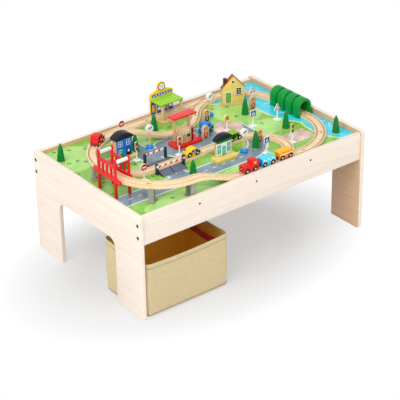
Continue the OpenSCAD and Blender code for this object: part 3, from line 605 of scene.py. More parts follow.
def dress(name, edge, finishes, pick=None, keep=None):
    """A copy of a CAD piece with its sharp edges eased, which stands for it.

    pick gives a face's finish from its middle and normal, and keep says which edges are eased.
    """
    piece = bpy.data.objects.new(name + "_dressed", NODES[name].data.copy())
    bpy.context.scene.collection.objects.link(piece)
    choose(piece)
    bpy.ops.mesh.customdata_custom_splitnormals_clear()
    bpy.ops.object.mode_set(mode="EDIT")
    bpy.ops.mesh.select_all(action="SELECT")
    bpy.ops.mesh.remove_doubles(threshold=2e-6)
    bpy.ops.mesh.dissolve_limited(angle_limit=math.radians(0.5))
    bpy.ops.mesh.select_all(action="DESELECT")
    bpy.ops.mesh.select_mode(type="EDGE")
    bpy.ops.mesh.edges_select_sharp(sharpness=SHARP)
    if keep:
        bpy.ops.object.mode_set(mode="OBJECT")
        corners = piece.data.vertices
        for line in piece.data.edges:
            ends = [corners[i].co for i in line.vertices]
            line.select = line.select and keep((ends[0] + ends[1]) / 2)
        bpy.ops.object.mode_set(mode="EDIT")
    bpy.ops.mesh.bevel(offset=edge, segments=2, affect="EDGES", clamp_overlap=False)
    bpy.ops.mesh.select_mode(type="VERT")
    bpy.ops.object.mode_set(mode="OBJECT")
    bpy.ops.object.shade_smooth_by_angle(angle=SMOOTH)
    piece.data.materials.clear()
    for material in finishes:
        piece.data.materials.append(material)
    if pick:
        for face in piece.data.polygons:
            face.material_index = pick(face.center, face.normal)
    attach(piece, BODY_OF[name])
    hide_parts(name)
    return piece


def recolour(name, material):
    """Gives a CAD piece that stays as it is a finish."""
    NODES[name].data.materials.clear()
    NODES[name].data.materials.append(material)


def stripes(name, first, second, pitch):
    """Gloss paint in two colours, in slanted bands along X."""
    material, tree, gloss = surface(name, 0.34, 0.08, shine=0.2)
    split = add(tree, "ShaderNodeSeparateXYZ", {"Vector": piece_coords(tree)})
    along = work(tree, "MULTIPLY_ADD", split.outputs["Z"], -0.7, split.outputs["X"])
    part = work(tree, "FRACT", work(tree, "MULTIPLY", along, 1 / pitch))
    bands = two_tone(tree, part, first, second, 0.595, 0.605)
    tree.links.new(bands, gloss.inputs["Base Color"])
    relief(tree, gloss, speckle(tree, coords(tree), 900.0, 2.0), 0.1, 0.00012)
    return material


class Decals:
    """Small painted shapes that become one piece for each finish."""

    def __init__(self, name, body="table"):
        self.name = name
        self.body = body
        self.shapes = {}

    def add(self, finish_name, shape, where, at, spin):
        """Sets a shape on a face, with its foot in the wood."""
        put(shape, where, *at, -FOOT, spin)
        self.shapes.setdefault(finish_name, []).append(shape)

    def plate(self, finish_name, where, size, at=(0, 0), corner=0.0, spin=0.0, lift=FIRST):
        """A rectangle of a width and a height."""
        self.add(finish_name, slab("plate", *size, lift + FOOT, corner), where, at, spin)

    def dot(self, finish_name, where, radius, at=(0, 0), lift=FIRST, sides=24):
        """A disc, or with few sides a triangle or the like."""
        self.add(finish_name, disc("dot", radius, lift + FOOT, sides=sides), where, at, 0)

    def settle(self):
        """Joins the shapes of each finish."""
        for finish_name, shapes in self.shapes.items():
            settle(self.name + "_" + finish_name, shapes, finish(finish_name), self.body)


class TRAINTABLE_OT_stage(Operator):
    """Floor, light and camera"""

    bl_idname = "train_table.stage"
    bl_label = "Stage"

    def execute(self, context):
        stage = settings().stage
        scene = context.scene
        scene.view_settings.view_transform = "Standard"
        deselect()
        bpy.ops.mesh.primitive_plane_add(size=14, location=(0, 0, -0.0006))
        floor = context.object
        floor.name = "floor"
        floor.data.materials.append(self.paper())
        self.light(scene, stage)
        self.camera(scene, stage)
        return {"FINISHED"}

    def paper(self):
        """White floor that takes the shadow near the table and fades to plain white far from it. Seen
        directly, it glows dimmer near the table: painted shade round the table, which also lightens the real
        shadow under it.
        """
        material, tree, gloss = surface("floor_white", 0.9)
        gloss.inputs["Base Color"].default_value = (0.9, 0.9, 0.9, 1)
        shape = {"Vector": piece_coords(tree), "Location": (0.14, 0.105, 0), "Scale": (1.39, 2.1, 1)}
        oval = add(tree, "ShaderNodeMapping", shape)
        far = add(tree, "ShaderNodeVectorMath", {0: oval.outputs["Vector"]}, operation="LENGTH")
        reach = {"Value": far.outputs["Value"], "From Min": 0.6, "From Max": 1.03}
        share = add(tree, "ShaderNodeMapRange", {**reach, "To Min": 0.6})
        # The glow is dimmer near the table than far from it: painted shade on the floor round the table.
        level = add(tree, "ShaderNodeMapRange", {**reach, "To Min": 0.71})
        seen = work(tree, "MULTIPLY", share.outputs["Result"], self.seen_white(tree))
        backdrop_and_painted_shade = add(tree, "ShaderNodeEmission", {"Color": WHITE, "Strength": level.outputs["Result"]})
        show(tree, blend(tree, seen, gloss, backdrop_and_painted_shade))
        return material

    def seen_white(self, tree):
        """1 for rays that show the background itself, and 0 for rays that carry light."""
        path = add(tree, "ShaderNodeLightPath")
        kinds = ("Camera", "Glossy", "Transmission")
        camera, glossy, clear = (path.outputs[f"Is {kind} Ray"] for kind in kinds)
        return work(tree, "MAXIMUM", work(tree, "MAXIMUM", camera, glossy), clear)

    def light(self, scene, stage):
        """Even light from all round, a main lamp from the left and a weaker one from the front."""
        world = bpy.data.worlds.new("studio")
        scene.world = world
        world.use_nodes = True
        tree = world.node_tree
        tree.nodes.clear()
        even = add(tree, "ShaderNodeBackground", {"Color": WHITE, "Strength": stage.sky})
        white = add(tree, "ShaderNodeBackground", {"Color": WHITE, "Strength": 1.0})
        output = add(tree, "ShaderNodeOutputWorld")
        tree.links.new(blend(tree, self.seen_white(tree), even, white), output.inputs["Surface"])
        lamps = (("key_lamp", (-2.8, -1.2, 3.4), 2.4, 1.0), ("fill_lamp", (0.6, -3.4, 2.2), 2.6, 0.25))
        aim = Vector((0, 0, 0.3))
        for name, spot, size, share in lamps:
            lamp = bpy.data.lights.new(name, "AREA")
            lamp.energy = stage.lamp * share
            lamp.size = size
            holder = bpy.data.objects.new(name, lamp)
            holder.location = spot
            holder.rotation_euler = (aim - Vector(spot)).to_track_quat("-Z", "Y").to_euler()
            scene.collection.objects.link(holder)

    def camera(self, scene, stage):
        """A long lens that sees the table as the photograph does."""
        azimuth, rise, roll = stage.azimuth, stage.rise, stage.roll
        right = Vector((math.cos(azimuth), math.sin(azimuth), 0))
        away = Vector((math.sin(azimuth), -math.cos(azimuth), 0))
        back = away * math.cos(rise) + Vector((0, 0, math.sin(rise)))
        up = back.cross(right)
        across = right * math.cos(roll) + up * math.sin(roll)
        over = up * math.cos(roll) - right * math.sin(roll)
        lens = bpy.data.cameras.new("photo_camera")
        lens.lens = stage.lens
        lens.sensor_width = 36
        lens.clip_end = 60
        holder = bpy.data.objects.new("photo_camera", lens)
        turn = Matrix((across, over, back)).transposed().to_4x4()
        spot = Vector(stage.target) + back * stage.distance
        holder.matrix_world = Matrix.Translation(spot) @ turn
        scene.collection.objects.link(holder)
        scene.camera = holder


class TRAINTABLE_OT_table(Operator):
    """Panels, rails, battens and fasteners"""

    bl_idname = "train_table.table"
    bl_label = "Table"

    bolts = tuple((y, z) for y in (-0.306, 0.306) for z in (0.317, 0.363))
    bolt_clearance = 0.012
    rail_middle = 0.34
    rail_half = 0.054

    def execute(self, context):
        table = settings().table
        edge = settings().edges.panel
        panels = self.woods("panel", table, "Y")
        for name in ("end_panel_left", "end_panel_right"):
            dress(name, edge, panels, pick=self.panel_face, keep=self.clear_of_bolts)
        rails = self.woods("rail", table, "X")
        for name in ("side_rail_front", "side_rail_back"):
            dress(name, edge * 0.7, rails, pick=self.rail_face, keep=self.outer_edge)
        batten = wood("batten_wood", shade(table.toy_wood, 0.9), "Y", fine=1.4, contrast=0.2, roughness=0.6)
        recolour("board_battens", batten)
        dark = metal("bolt_steel", linear(88, 88, 92), 0.45)
        for name in ("panel_bolts", "barrel_nuts", "rail_screws"):
            recolour(name, dark)
        return {"FINISHED"}

    def woods(self, name, table, along):
        """The lacquered outside of a board, and its inside in the same wood, darker and tanner as painted
        shade.
        """
        outer = wood(name + "_wood", table.panel, along, contrast=0.07, roughness=0.4)
        inner = wood(name + "_inner_painted_shade_wood", table.inner, along, contrast=0.1, roughness=0.5)
        return [outer, inner]

    def panel_face(self, middle, normal):
        # Faces that look into the table take the second wood, the painted shade.
        return int(normal.x * middle.x < 0 and abs(normal.x) > 0.7)

    def rail_face(self, middle, normal):
        # Faces that look into the table take the second wood, the painted shade.
        return int(normal.y * middle.y < 0 and abs(normal.y) > 0.7)

    def clear_of_bolts(self, spot):
        return all(math.hypot(spot.y - y, spot.z - z) > self.bolt_clearance for y, z in self.bolts)

    def outer_edge(self, spot):
        return abs(abs(spot.z - self.rail_middle) - self.rail_half) < 0.001


class TRAINTABLE_OT_track(Operator):
    """Wooden track and piers"""

    bl_idname = "train_table.track"
    bl_label = "Track"

    # Depth below the track's top at which a level face is a groove's floor
    groove_floor = (0.0012, 0.005)
    # Distance from the track's middle line to a groove's, and half of a groove's width
    groove_line = 0.013
    groove_half = 0.0028
    # Start and heading of the inner ramp
    inner_ramp = ((-0.2383, 0.1583), -8)
    # The end curves, whose grain runs across, lie further out than this
    end_curves = 0.33

    def execute(self, context):
        table = settings().table
        edge = settings().edges
        grain = {"fine": 3.2, "contrast": 0.17, "roughness": 0.45}
        woods = [
            wood("track_wood", table.track, "X", **grain),
            wood("track_wood_across", table.track, "Y", **grain),
            # Groove floors take the track wood at half brightness: painted shade in the grooves.
            wood("groove_painted_shade_wood", shade(table.track, 0.5), "X", fine=3.2, contrast=0.2, roughness=0.7),
        ]
        for name in ("track_straights", "track_curves", "track_ramps", "track_switches"):
            dress(name, edge.track, woods, pick=self.sloped if name == "track_ramps" else self.level)
        dress("track_piers", edge.toy, [paint("pier_paint", settings().toys.pier, 0.5, 0.05)])
        return {"FINISHED"}

    def level(self, middle, normal):
        """The wood of a face on level track; a groove's floor takes the darker wood, painted shade."""
        least, most = self.groove_floor
        depths = (TRACK_TOP - middle.z, TRACK_TOP + RISE - middle.z)
        if normal.z > 0.7 and any(least < depth < most for depth in depths):
            return 2
        return int(abs(middle.x) > self.end_curves)

    def sloped(self, middle, normal):
        """The wood of a face on a ramp; a groove's floor takes the darker wood, painted shade."""
        inner = local(*self.inner_ramp).inverted() @ middle
        for offset in (middle.y - FRONT_LINE, inner.y):
            if normal.z > 0.7 and abs(abs(offset) - self.groove_line) < self.groove_half:
                return 2
        return 0


class TRAINTABLE_OT_board(Operator):
    """Print on the play board"""

    bl_idname = "train_table.board"
    bl_label = "Printed board"

    # Middle lines of the two roads, and the middles of the yard, the parking place and the paved places
    front_road = -0.165
    cross_road = -0.195
    yard = (-0.025, 0.05)
    parking = (-0.265, 0.09)
    plaza = (0.165, 0.045)
    court = (0.318, -0.165)

    def execute(self, context):
        table = settings().table
        recolour("play_board", self.two_sided(table))
        self.fields(table)
        self.shrubs(table)
        self.lake(table)
        self.roads(table)
        self.road_marks()
        self.paving(table)
        return {"FINISHED"}

    def two_sided(self, table):
        """Grass above and bare fibre board below."""
        material, tree, gloss = surface("board_print", 0.12, shine=0.5)
        normal = add(tree, "ShaderNodeNewGeometry").outputs["True Normal"]
        split = add(tree, "ShaderNodeSeparateXYZ", {"Vector": normal})
        above = work(tree, "GREATER_THAN", split.outputs["Z"], 0.5)
        cloud = speckle(tree, coords(tree), 16.0, 5.0)
        grass = two_tone(tree, cloud, shade(table.grass, 0.86), shade(table.grass, 1.1), 0.36, 0.64)
        blades = speckle(tree, coords(tree), 420.0, 2.0)
        print_top = multiply(tree, grass, two_tone(tree, blades, (0.86, 0.9, 0.82), (1, 1, 1), 0.35, 0.5))
        fibres = speckle(tree, coords(tree), 260.0, 5.0)
        brown = two_tone(tree, fibres, linear(140, 100, 66), linear(168, 126, 88))
        mix = add(tree, "ShaderNodeMix", {"Factor": above}, data_type="RGBA")
        tree.links.new(brown, mix.inputs["A"])
        tree.links.new(print_top, mix.inputs["B"])
        tree.links.new(mix.outputs["Result"], gloss.inputs["Base Color"])
        relief(tree, gloss, fibres, 0.05, 0.0001)
        return material

    def print_on(self, name, shapes, material):
        """Joins flat shapes into one printed piece."""
        settle(name, shapes, material, "table")

    def fields(self, table):
        """Pale ovals, each with its middle and its reach."""
        ovals = (
            ((-0.42, 0.21), (0.10, 0.10)),
            ((-0.30, -0.27), (0.14, 0.05)),
            ((-0.30, 0.0), (0.07, 0.04)),
            ((0.06, -0.24), (0.16, 0.04)),
            ((0.27, 0.13), (0.09, 0.10)),
            ((0.26, -0.03), (0.10, 0.06)),
            ((-0.10, 0.17), (0.08, 0.05)),
        )
        shapes = [pond("field", spot, reach, 0.0001 + LAYER * i) for i, (spot, reach) in enumerate(ovals)]
        self.print_on("board_fields", shapes, ink("meadow_ink", table.meadow, 0.08))

    def shrubs(self, table):
        """Clumps of three dots, spread evenly and kept off the roads and the lake."""
        dots = []
        lake_side = 0.3
        for i in range(120):
            x = -0.47 + 0.94 * ((i * 0.618) % 1)
            y = -0.288 + 0.576 * ((i * 0.7549) % 1)
            if x > lake_side or self.on_road(x, y):
                continue
            for k in range(3):
                turn = i + k * 2.1
                where = lying(x + 0.005 * math.cos(turn), y + 0.005 * math.sin(turn), BOARD_TOP)
                radius = 0.003 + 0.0012 * ((i + k) % 3)
                dots.append(put(disc("shrub", radius, 0.0003 + LAYER * k, sides=10), where))
        self.print_on("board_shrubs", dots, ink("shrub_ink", shade(table.grass, 0.55), 0.2))

    def on_road(self, x, y):
        """Whether a spot lies on or close to a road or the yard."""
        on_front = abs(y - self.front_road) < 0.055
        on_cross = abs(x - self.cross_road) < 0.055
        on_yard = abs(y - self.yard[1]) < 0.08 and -0.22 < x < 0.25
        return on_front or on_cross or on_yard

    def lake(self, table):
        """Water in three ovals with a sandy shore, and a few small waves."""
        pools = (
            ((0.475, 0.10), (0.125, 0.23)),
            ((0.465, -0.16), (0.075, 0.13)),
            ((0.42, 0.275), (0.20, 0.07)),
        )
        beach = 0.009
        sand = []
        water = []
        for i, (spot, (across, along)) in enumerate(pools):
            sand.append(pond("shore", spot, (across + beach, along + beach), 0.00026 + LAYER * i))
            water.append(pond("water", spot, (across, along), 0.00036 + LAYER * i))
        self.print_on("board_shore", sand, ink("shore_ink", table.shore))
        self.print_on("board_water", water, ink("water_ink", table.water, 0.1))
        starts = (
            ((0.385, 0.20), 20),
            ((0.40, 0.12), -60),
            ((0.385, 0.03), -80),
            ((0.43, -0.12), -50),
            ((0.452, -0.2), 30),
            ((0.33, 0.255), -30),
            ((0.455, -0.03), 70),
            ((0.428, 0.16), -30),
        )
        curl = (0.003, (0.012, 80), (0.012, -80), (0.012, 80))
        foam = [ribbon("wave", spot, heading, 0.0032, curl, 0.0005) for spot, heading in starts]
        self.print_on("board_waves", foam, ink("wave_ink", settings().toys.white))

    def roads(self, table):
        """Three roads and two paved yards, each with a pale kerb round it."""
        lane = 0.064
        border = 0.012
        runs = (
            ((-0.4835, self.front_road), 0, (0.56, (0.115, 90), 0.11)),
            ((self.cross_road, self.front_road), 90, (0.40,)),
            ((self.cross_road, self.yard[1]), 0, (0.40,)),
        )
        yards = ((self.yard, (0.21, 0.13), 0.028, 0.03), (self.parking, (0.14, 0.06), 0.016, 0.02))
        kerbs = []
        lanes = []
        for i, (start, heading, moves) in enumerate(runs):
            kerbs.append(ribbon("kerb", start, heading, lane + border, moves, 0.0003 + LAYER * i))
            lanes.append(ribbon("lane", start, heading, lane, moves, 0.00042 + LAYER * i))
        for i, (spot, (width, depth), inner, outer) in enumerate(yards):
            where = lying(*spot, BOARD_TOP)
            kerb = slab("kerb", width + border, depth + border, 0.00036 + LAYER * i, outer)
            kerbs.append(put(kerb, where))
            lanes.append(put(slab("yard", width, depth, 0.00048 + LAYER * i, inner), where))
        self.print_on("board_kerbs", kerbs, ink("kerb_ink", table.kerb, 0.03))
        self.print_on("board_roads", lanes, ink("road_ink", table.road, 0.12))

    def road_marks(self):
        """Dashes along the two roads, left out where roads meet."""
        dash, width, height, pitch = 0.018, 0.0028, 0.0006, 0.04
        marks = []
        for i in range(14):
            x = -0.465 + pitch * i
            if abs(x - self.cross_road) > 0.05:
                marks.append(put(slab("dash", dash, width, height), lying(x, self.front_road, BOARD_TOP)))
        for i in range(9):
            y = -0.11 + pitch * i
            if abs(y - self.yard[1]) > 0.045:
                marks.append(put(slab("dash", width, dash, height), lying(self.cross_road, y, BOARD_TOP)))
        self.print_on("board_marks", marks, ink("mark_ink", settings().toys.white, 0.03))

    def paving(self, table):
        """A round plaza and a square court, with pale joints between their stones."""
        plaza = lying(*self.plaza, BOARD_TOP)
        court = lying(*self.court, BOARD_TOP)
        radius, width, depth = 0.056, 0.105, 0.075
        stone_size, gap = 0.0148, 0.0014
        stones = [
            put(disc("plaza", radius, 0.00054, sides=48), plaza),
            put(slab("court", width, depth, 0.00054, 0.004), court),
        ]
        self.print_on("board_paving", stones, ink("paving_ink", table.paving, 0.3))
        joints = [put(ring("joint", r, r - 0.0018, 0.00062), plaza) for r in (radius, 0.038, 0.02)]
        for i in range(12):
            spoke = slab("joint", 0.034, gap, 0.0006)
            joints.append(put(spoke, lying(*self.plaza, BOARD_TOP, i * 30), 0.037))
        for i in range(8):
            joints.append(put(slab("joint", gap, depth, 0.0006), court, (i - 3.5) * stone_size))
        for i in range(6):
            joints.append(put(slab("joint", width, gap, 0.00062), court, 0, (i - 2.5) * stone_size))
        self.print_on("board_paving_joints", joints, ink("paving_edge_ink", shade(table.paving, 1.2), 0.04))


class TRAINTABLE_OT_bin(Operator):
    """Cloth bin with a hem, stitches and a strap"""

    bl_idname = "train_table.bin"
    bl_label = "Cloth bin"

    def execute(self, context):
        low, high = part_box("bin_shell")
        table = settings().table
        sizes = settings().bin
        self.low, self.high = low, high
        self.middle = (low + high) / 2
        outside = cloth("bin_cloth", table.cloth)
        lining = cloth("bin_lining", table.lining)
        # Darker cloth for the seams; round the foot of the bin it is also painted shadow where the bin meets
        # the floor.
        piping_and_shadow = cloth("bin_piping", shade(table.cloth, 0.6))
        size = high - low
        fabric = 0.0022
        below_rim = 0.0006
        both = (outside, lining)
        body = self.shell("bin_cloth", both, 0.0, size.z - below_rim, fabric, sizes.bow, closed=True)
        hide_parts("bin_shell", "bin_base")
        hem_low = high.z - sizes.hem
        hem = self.shell("bin_hem", (outside, outside), hem_low, high.z - hem_low, 0.0044)
        seams = [
            # The low band is a seam, its darker cloth also painted shadow along the floor; the high band is
            # the seam under the hem.
            self.shell("bin_seam_and_shadow_low", (piping_and_shadow, piping_and_shadow), 0.008, 0.0018, 0.0038),
            self.shell("bin_seam_high", (piping_and_shadow, piping_and_shadow), hem_low - 0.0008, 0.0016, 0.0042),
        ]
        thread = self.stitches(table, hem_low + 0.004, sizes)
        self.strap(table)
        return {"FINISHED"}

    def loop(self, name, level):
        """Round-cornered outline of the bin as a grid, with its rim selected."""
        deselect()
        size = self.high - self.low
        bpy.ops.mesh.primitive_grid_add(x_subdivisions=16, y_subdivisions=11, size=1)
        piece = bpy.context.object
        piece.scale = (size.x - 0.0016, size.y - 0.0016, 1)
        piece.location = (self.middle.x, self.middle.y, level)
        bpy.ops.object.transform_apply(location=True, rotation=True, scale=True)
        piece.name = name
        piece.data.name = name
        bpy.ops.object.mode_set(mode="EDIT")
        bpy.ops.mesh.select_mode(type="VERT")
        bpy.ops.mesh.select_all(action="DESELECT")
        bpy.ops.object.mode_set(mode="OBJECT")
        far = (size.x + size.y) / 2 - 0.004
        for vertex in piece.data.vertices:
            vertex.select = abs(vertex.co.x - self.middle.x) + abs(vertex.co.y - self.middle.y) > far
        bpy.ops.object.mode_set(mode="EDIT")
        bpy.ops.mesh.bevel(offset=settings().bin.corner, segments=6, affect="VERTICES", clamp_overlap=True)
        bpy.ops.mesh.select_all(action="SELECT")
        bpy.ops.mesh.region_to_loop()
        return piece

    def shell(self, name, cloths, level, height, thickness, bow=0.0, closed=False):
        """Cloth round the bin from a level upwards: the closed bin itself, or a band on it."""
        piece = self.loop(name, level + 0.0004)
        steps = 14 if closed else 3
        size = self.high - self.low
        swell = 0.0
        for i in range(steps):
            bpy.ops.mesh.extrude_edges_move(TRANSFORM_OT_translate={"value": (0, 0, height / steps)})
            wanted = bow * math.sin(math.pi * (i + 1) / steps)
            wider, deeper = ((side / 2 + wanted) / (side / 2 + swell) for side in (size.x, size.y))
            centre = (self.middle.x, self.middle.y, 0)
            bpy.ops.transform.resize(value=(wider, deeper, 1), center_override=centre)
            swell = wanted
        if not closed:
            self.open_floor(piece)
        bpy.ops.mesh.select_all(action="SELECT")
        bpy.ops.mesh.normals_make_consistent(inside=False)
        bpy.ops.object.mode_set(mode="OBJECT")
        for vertex in piece.data.vertices:
            vertex.co.z -= self.sag(vertex.co)
        self.crumple(piece, closed)
        for material in cloths:
            piece.data.materials.append(material)
        wall = piece.modifiers.new("wall", "SOLIDIFY")
        wall.thickness = thickness
        wall.offset = -1 if closed else 0.2
        wall.material_offset = 1
        smooth = piece.modifiers.new("smooth", "SUBSURF")
        smooth.levels = 1
        smooth.render_levels = 1
        choose(piece)
        bpy.ops.object.modifier_apply(modifier="wall")
        bpy.ops.object.modifier_apply(modifier="smooth")
        bpy.ops.object.shade_smooth()
        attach(piece, "bin")
        return piece

    def sag(self, spot):
        """How far the cloth hangs down at a spot: most at the middle of each rim."""
        size = (self.high - self.low) / 2
        across = (spot.x - self.middle.x) / size.x
        along = (spot.y - self.middle.y) / size.y
        share = across if abs(across) < abs(along) else along
        height = max(0.0, spot.z / self.high.z)
        return settings().bin.sag * max(0.0, 1 - share * share) * height ** 3

    def open_floor(self, piece):
        """Takes the level faces out, so that only the band round the bin is left."""
        bpy.ops.mesh.select_all(action="DESELECT")
        bpy.ops.mesh.select_mode(type="FACE")
        bpy.ops.object.mode_set(mode="OBJECT")
        for face in piece.data.polygons:
            face.select = abs(face.normal.z) > 0.7
        bpy.ops.object.mode_set(mode="EDIT")
        bpy.ops.mesh.delete(type="FACE")
        bpy.ops.mesh.select_mode(type="VERT")

    def crumple(self, piece, closed):
        """Shallow creases in the cloth; the bin's floor stays flat."""
        depth = settings().bin.crease * (1 if closed else 0.5)
        pattern = bpy.data.textures.new(piece.name + "_creases", "CLOUDS")
        pattern.noise_scale = 0.075
        pattern.noise_depth = 2
        creases = piece.modifiers.new("creases", "DISPLACE")
        creases.texture = pattern
        creases.texture_coords = "LOCAL"
        creases.strength = depth * 2
        creases.mid_level = 0.55
        if closed:
            walls = piece.vertex_groups.new(name="walls")
            walls.add([v.index for v in piece.data.vertices if v.co.z > 0.012], 1.0, "REPLACE")
            creases.vertex_group = "walls"
        choose(piece)
        bpy.ops.object.modifier_apply(modifier="creases")

    def stitches(self, table, level, sizes):
        """A row of stitches round the hem."""
        size = (self.high - self.low) / 2
        pitch = 0.0075
        pieces = []
        for quarter in range(4):
            half, run = (size.x, size.y) if quarter % 2 else (size.y, size.x)
            side = local(self.middle, 90 * quarter)
            count = int((2 * run - 0.03) / pitch)
            for i in range(count):
                along = (i - (count - 1) / 2) * pitch
                where = side @ facing(along, -half - 0.0006, level)
                stitch = slab("stitch", sizes.stitch, 0.0009, 0.0007, 0.0004)
                stitch.matrix_world = Matrix.Translation((0, 0, -self.sag(where.translation))) @ where
                pieces.append(stitch)
        choose(*pieces)
        bpy.ops.object.transform_apply(location=True, rotation=True, scale=True)
        thread = paint("bin_thread", shade(table.cloth, 0.5), roughness=0.8, coat=0.0)
        return settle("bin_stitches", pieces, thread, "bin")

    def strap(self, table):
        """A flat strap that hangs a little between its ends and sways along its length."""
        low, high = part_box("bin_strap")
        hang, sway = 0.006, 0.002
        deselect()
        bpy.ops.mesh.primitive_grid_add(x_subdivisions=4, y_subdivisions=24, size=1)
        piece = new_piece("bin_strap_cloth")
        bpy.ops.object.mode_set(mode="OBJECT")
        piece.scale = (high.z - low.z, high.y - low.y, 1)
        piece.rotation_euler = (0, math.radians(90), 0)
        piece.location = (low + high) / 2
        bpy.ops.object.transform_apply(location=True, rotation=True, scale=True)
        middle = (low.y + high.y) / 2
        half = (high.y - low.y) / 2
        for vertex in piece.data.vertices:
            share = (vertex.co.y - middle) / half
            vertex.co.z -= hang * (1 - share * share)
            vertex.co.x += sway * math.sin(share * 5)
        wall = piece.modifiers.new("wall", "SOLIDIFY")
        wall.thickness = 0.0022
        wall.offset = 0
        choose(piece)
        bpy.ops.object.modifier_apply(modifier="wall")
        bpy.ops.object.shade_smooth_by_angle(angle=math.radians(50))
        piece.data.materials.append(cloth("strap_cloth", table.strap, 0.0022))
        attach(piece, "bin")
        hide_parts("bin_strap")


class TRAINTABLE_OT_bridge(Operator):
    """Bridge and tunnel"""

    bl_idname = "train_table.bridge"
    bl_label = "Bridge and tunnel"

    def execute(self, context):
        edge = settings().edges
        dress("bridge_sides", edge.small, [finish("red")])
        white_from = 0.47

        def bar(middle, normal):
            return int(middle.z > white_from)

        dress("bridge_bars", edge.small, [finish("red"), finish("white")], pick=bar)
        shell = paint("tunnel_plastic", settings().toys.tunnel, roughness=0.26, coat=0.12)
        dress("tunnel", edge.toy, [shell])
        pins = Decals("bridge_pins")
        low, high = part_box("bridge_sides")
        middle = (low.y + high.y) / 2
        for y in (middle - 0.048, middle + 0.048):
            for z in (BOARD_TOP + 0.068, BOARD_TOP + 0.117, BOARD_TOP + 0.137):
                near = facing(low.x, y, z, -90)
                pins.dot("dark_red", near, 0.0018)
        pins.settle()
        return {"FINISHED"}


class TRAINTABLE_OT_station(Operator):
    """Station and fuel stop"""

    bl_idname = "train_table.station"
    bl_label = "Station and fuel stop"

    def execute(self, context):
        edge = settings().edges
        toys = settings().toys
        # The roofs' top faces take lighter copies of their paint: painted highlight where light falls on
        # them.
        lime_highlight_top = paint("lime_top_paint", shade(toys.lime, 1.35))
        red_highlight_top = paint("red_top_paint", linear(236, 74, 70))

        def top(middle, normal):
            # Faces that look up get the painted highlight.
            return int(normal.z > 0.9)

        dress("station_platform", edge.toy, [finish("toy_wood")])
        dress("station_board", edge.small, [finish("yellow")])
        dress("station_roof", edge.toy, [finish("lime"), lime_highlight_top], pick=top)
        dress("roof_posts", edge.small, [finish("toy_wood")])
        dress("fuel_base", edge.toy, [finish("red")])
        dress("fuel_roof", edge.toy, [finish("red"), red_highlight_top], pick=top)
        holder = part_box("fuel_base")[0].x + 0.0795

        def pump(middle, normal):
            return 0 if middle.x < holder else (1 if middle.x < holder + 0.0097 else 2)

        dress("fuel_pump", edge.small, [finish("toy_wood"), finish("dark_red"), finish("white")], pick=pump)
        self.backboard()
        self.pump_face()
        self.roof_lines()
        return {"FINISHED"}

    def backboard(self):
        """Doors, windows, a band of marks and a clock on the station's board."""
        low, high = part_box("station_board")
        middle = (low.x + high.x) / 2
        marks = Decals("station")
        front = facing(middle, low.y, BOARD_TOP)
        for across in (-0.040, -0.013, 0.014, 0.040):
            marks.plate("blue", front, (0.021, 0.052), (across, 0.036), corner=0.002)
        for across in (-0.040, 0.014):
            marks.plate("amber", front, (0.011, 0.03), (across, 0.036), corner=0.004, lift=SECOND)
        for across in (-0.013, 0.040):
            marks.plate("white", front, (0.015, 0.012), (across, 0.048), corner=0.001, lift=SECOND)
            marks.plate("white", front, (0.015, 0.012), (across, 0.03), corner=0.001, lift=SECOND)
        marks.plate("blue", front, (0.09, 0.011), (0, 0.0855), corner=0.003)
        for i in range(7):
            marks.dot("white", front, 0.0042, ((i - 3) * 0.0122, 0.0852), lift=SECOND, sides=3)
        clock = facing(middle, low.y, BOARD_TOP + 0.115)
        marks.dot("dark_red", clock, 0.0162, sides=40)
        marks.dot("white", clock, 0.0132, lift=SECOND, sides=40)
        for i in range(12):
            turn = math.radians(30 * i)
            spot = (0.011 * math.sin(turn), 0.011 * math.cos(turn))
            marks.plate("black", clock, (0.0006, 0.0022), spot, spin=-30 * i, lift=0.0011)
        marks.plate("black", clock, (0.0009, 0.0095), (0.0028, 0.0035), spin=-40, lift=THIRD)
        marks.plate("black", clock, (0.0012, 0.0065), (-0.0022, 0.0012), spin=65, lift=THIRD)
        marks.settle()

    def pump_face(self):
        """Dials and buttons of the fuel pump."""
        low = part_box("fuel_base")[0]
        face = facing(low.x + 0.055, low.y + 0.016, BOARD_TOP + 0.009)
        marks = Decals("pump")
        marks.plate("grey", face, (0.014, 0.011), (0.009, 0.026), corner=0.001)
        marks.plate("white", face, (0.026, 0.012), (-0.002, 0.044), corner=0.002)
        for i in range(3):
            marks.dot("dark_red", face, 0.0022, (-0.009 + 0.007 * i, 0.044), lift=SECOND)
            marks.dot("grey", face, 0.002, (-0.013, 0.012 + 0.008 * i))
            marks.dot("grey", face, 0.002, (-0.006, 0.012 + 0.008 * i))
        marks.settle()

    def roof_lines(self):
        """Thin ribs across the two flat roofs."""
        marks = Decals("roof_lines")
        for name, colour_name in (("station_roof", "lime"), ("fuel_roof", "red")):
            low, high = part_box(name)
            count = 8
            for i in range(1, count):
                x = low.x + (high.x - low.x) * i / count
                top = lying(x, (low.y + high.y) / 2, high.z)
                marks.plate(colour_name, top, (0.0016, high.y - low.y - 0.006))
        marks.settle()


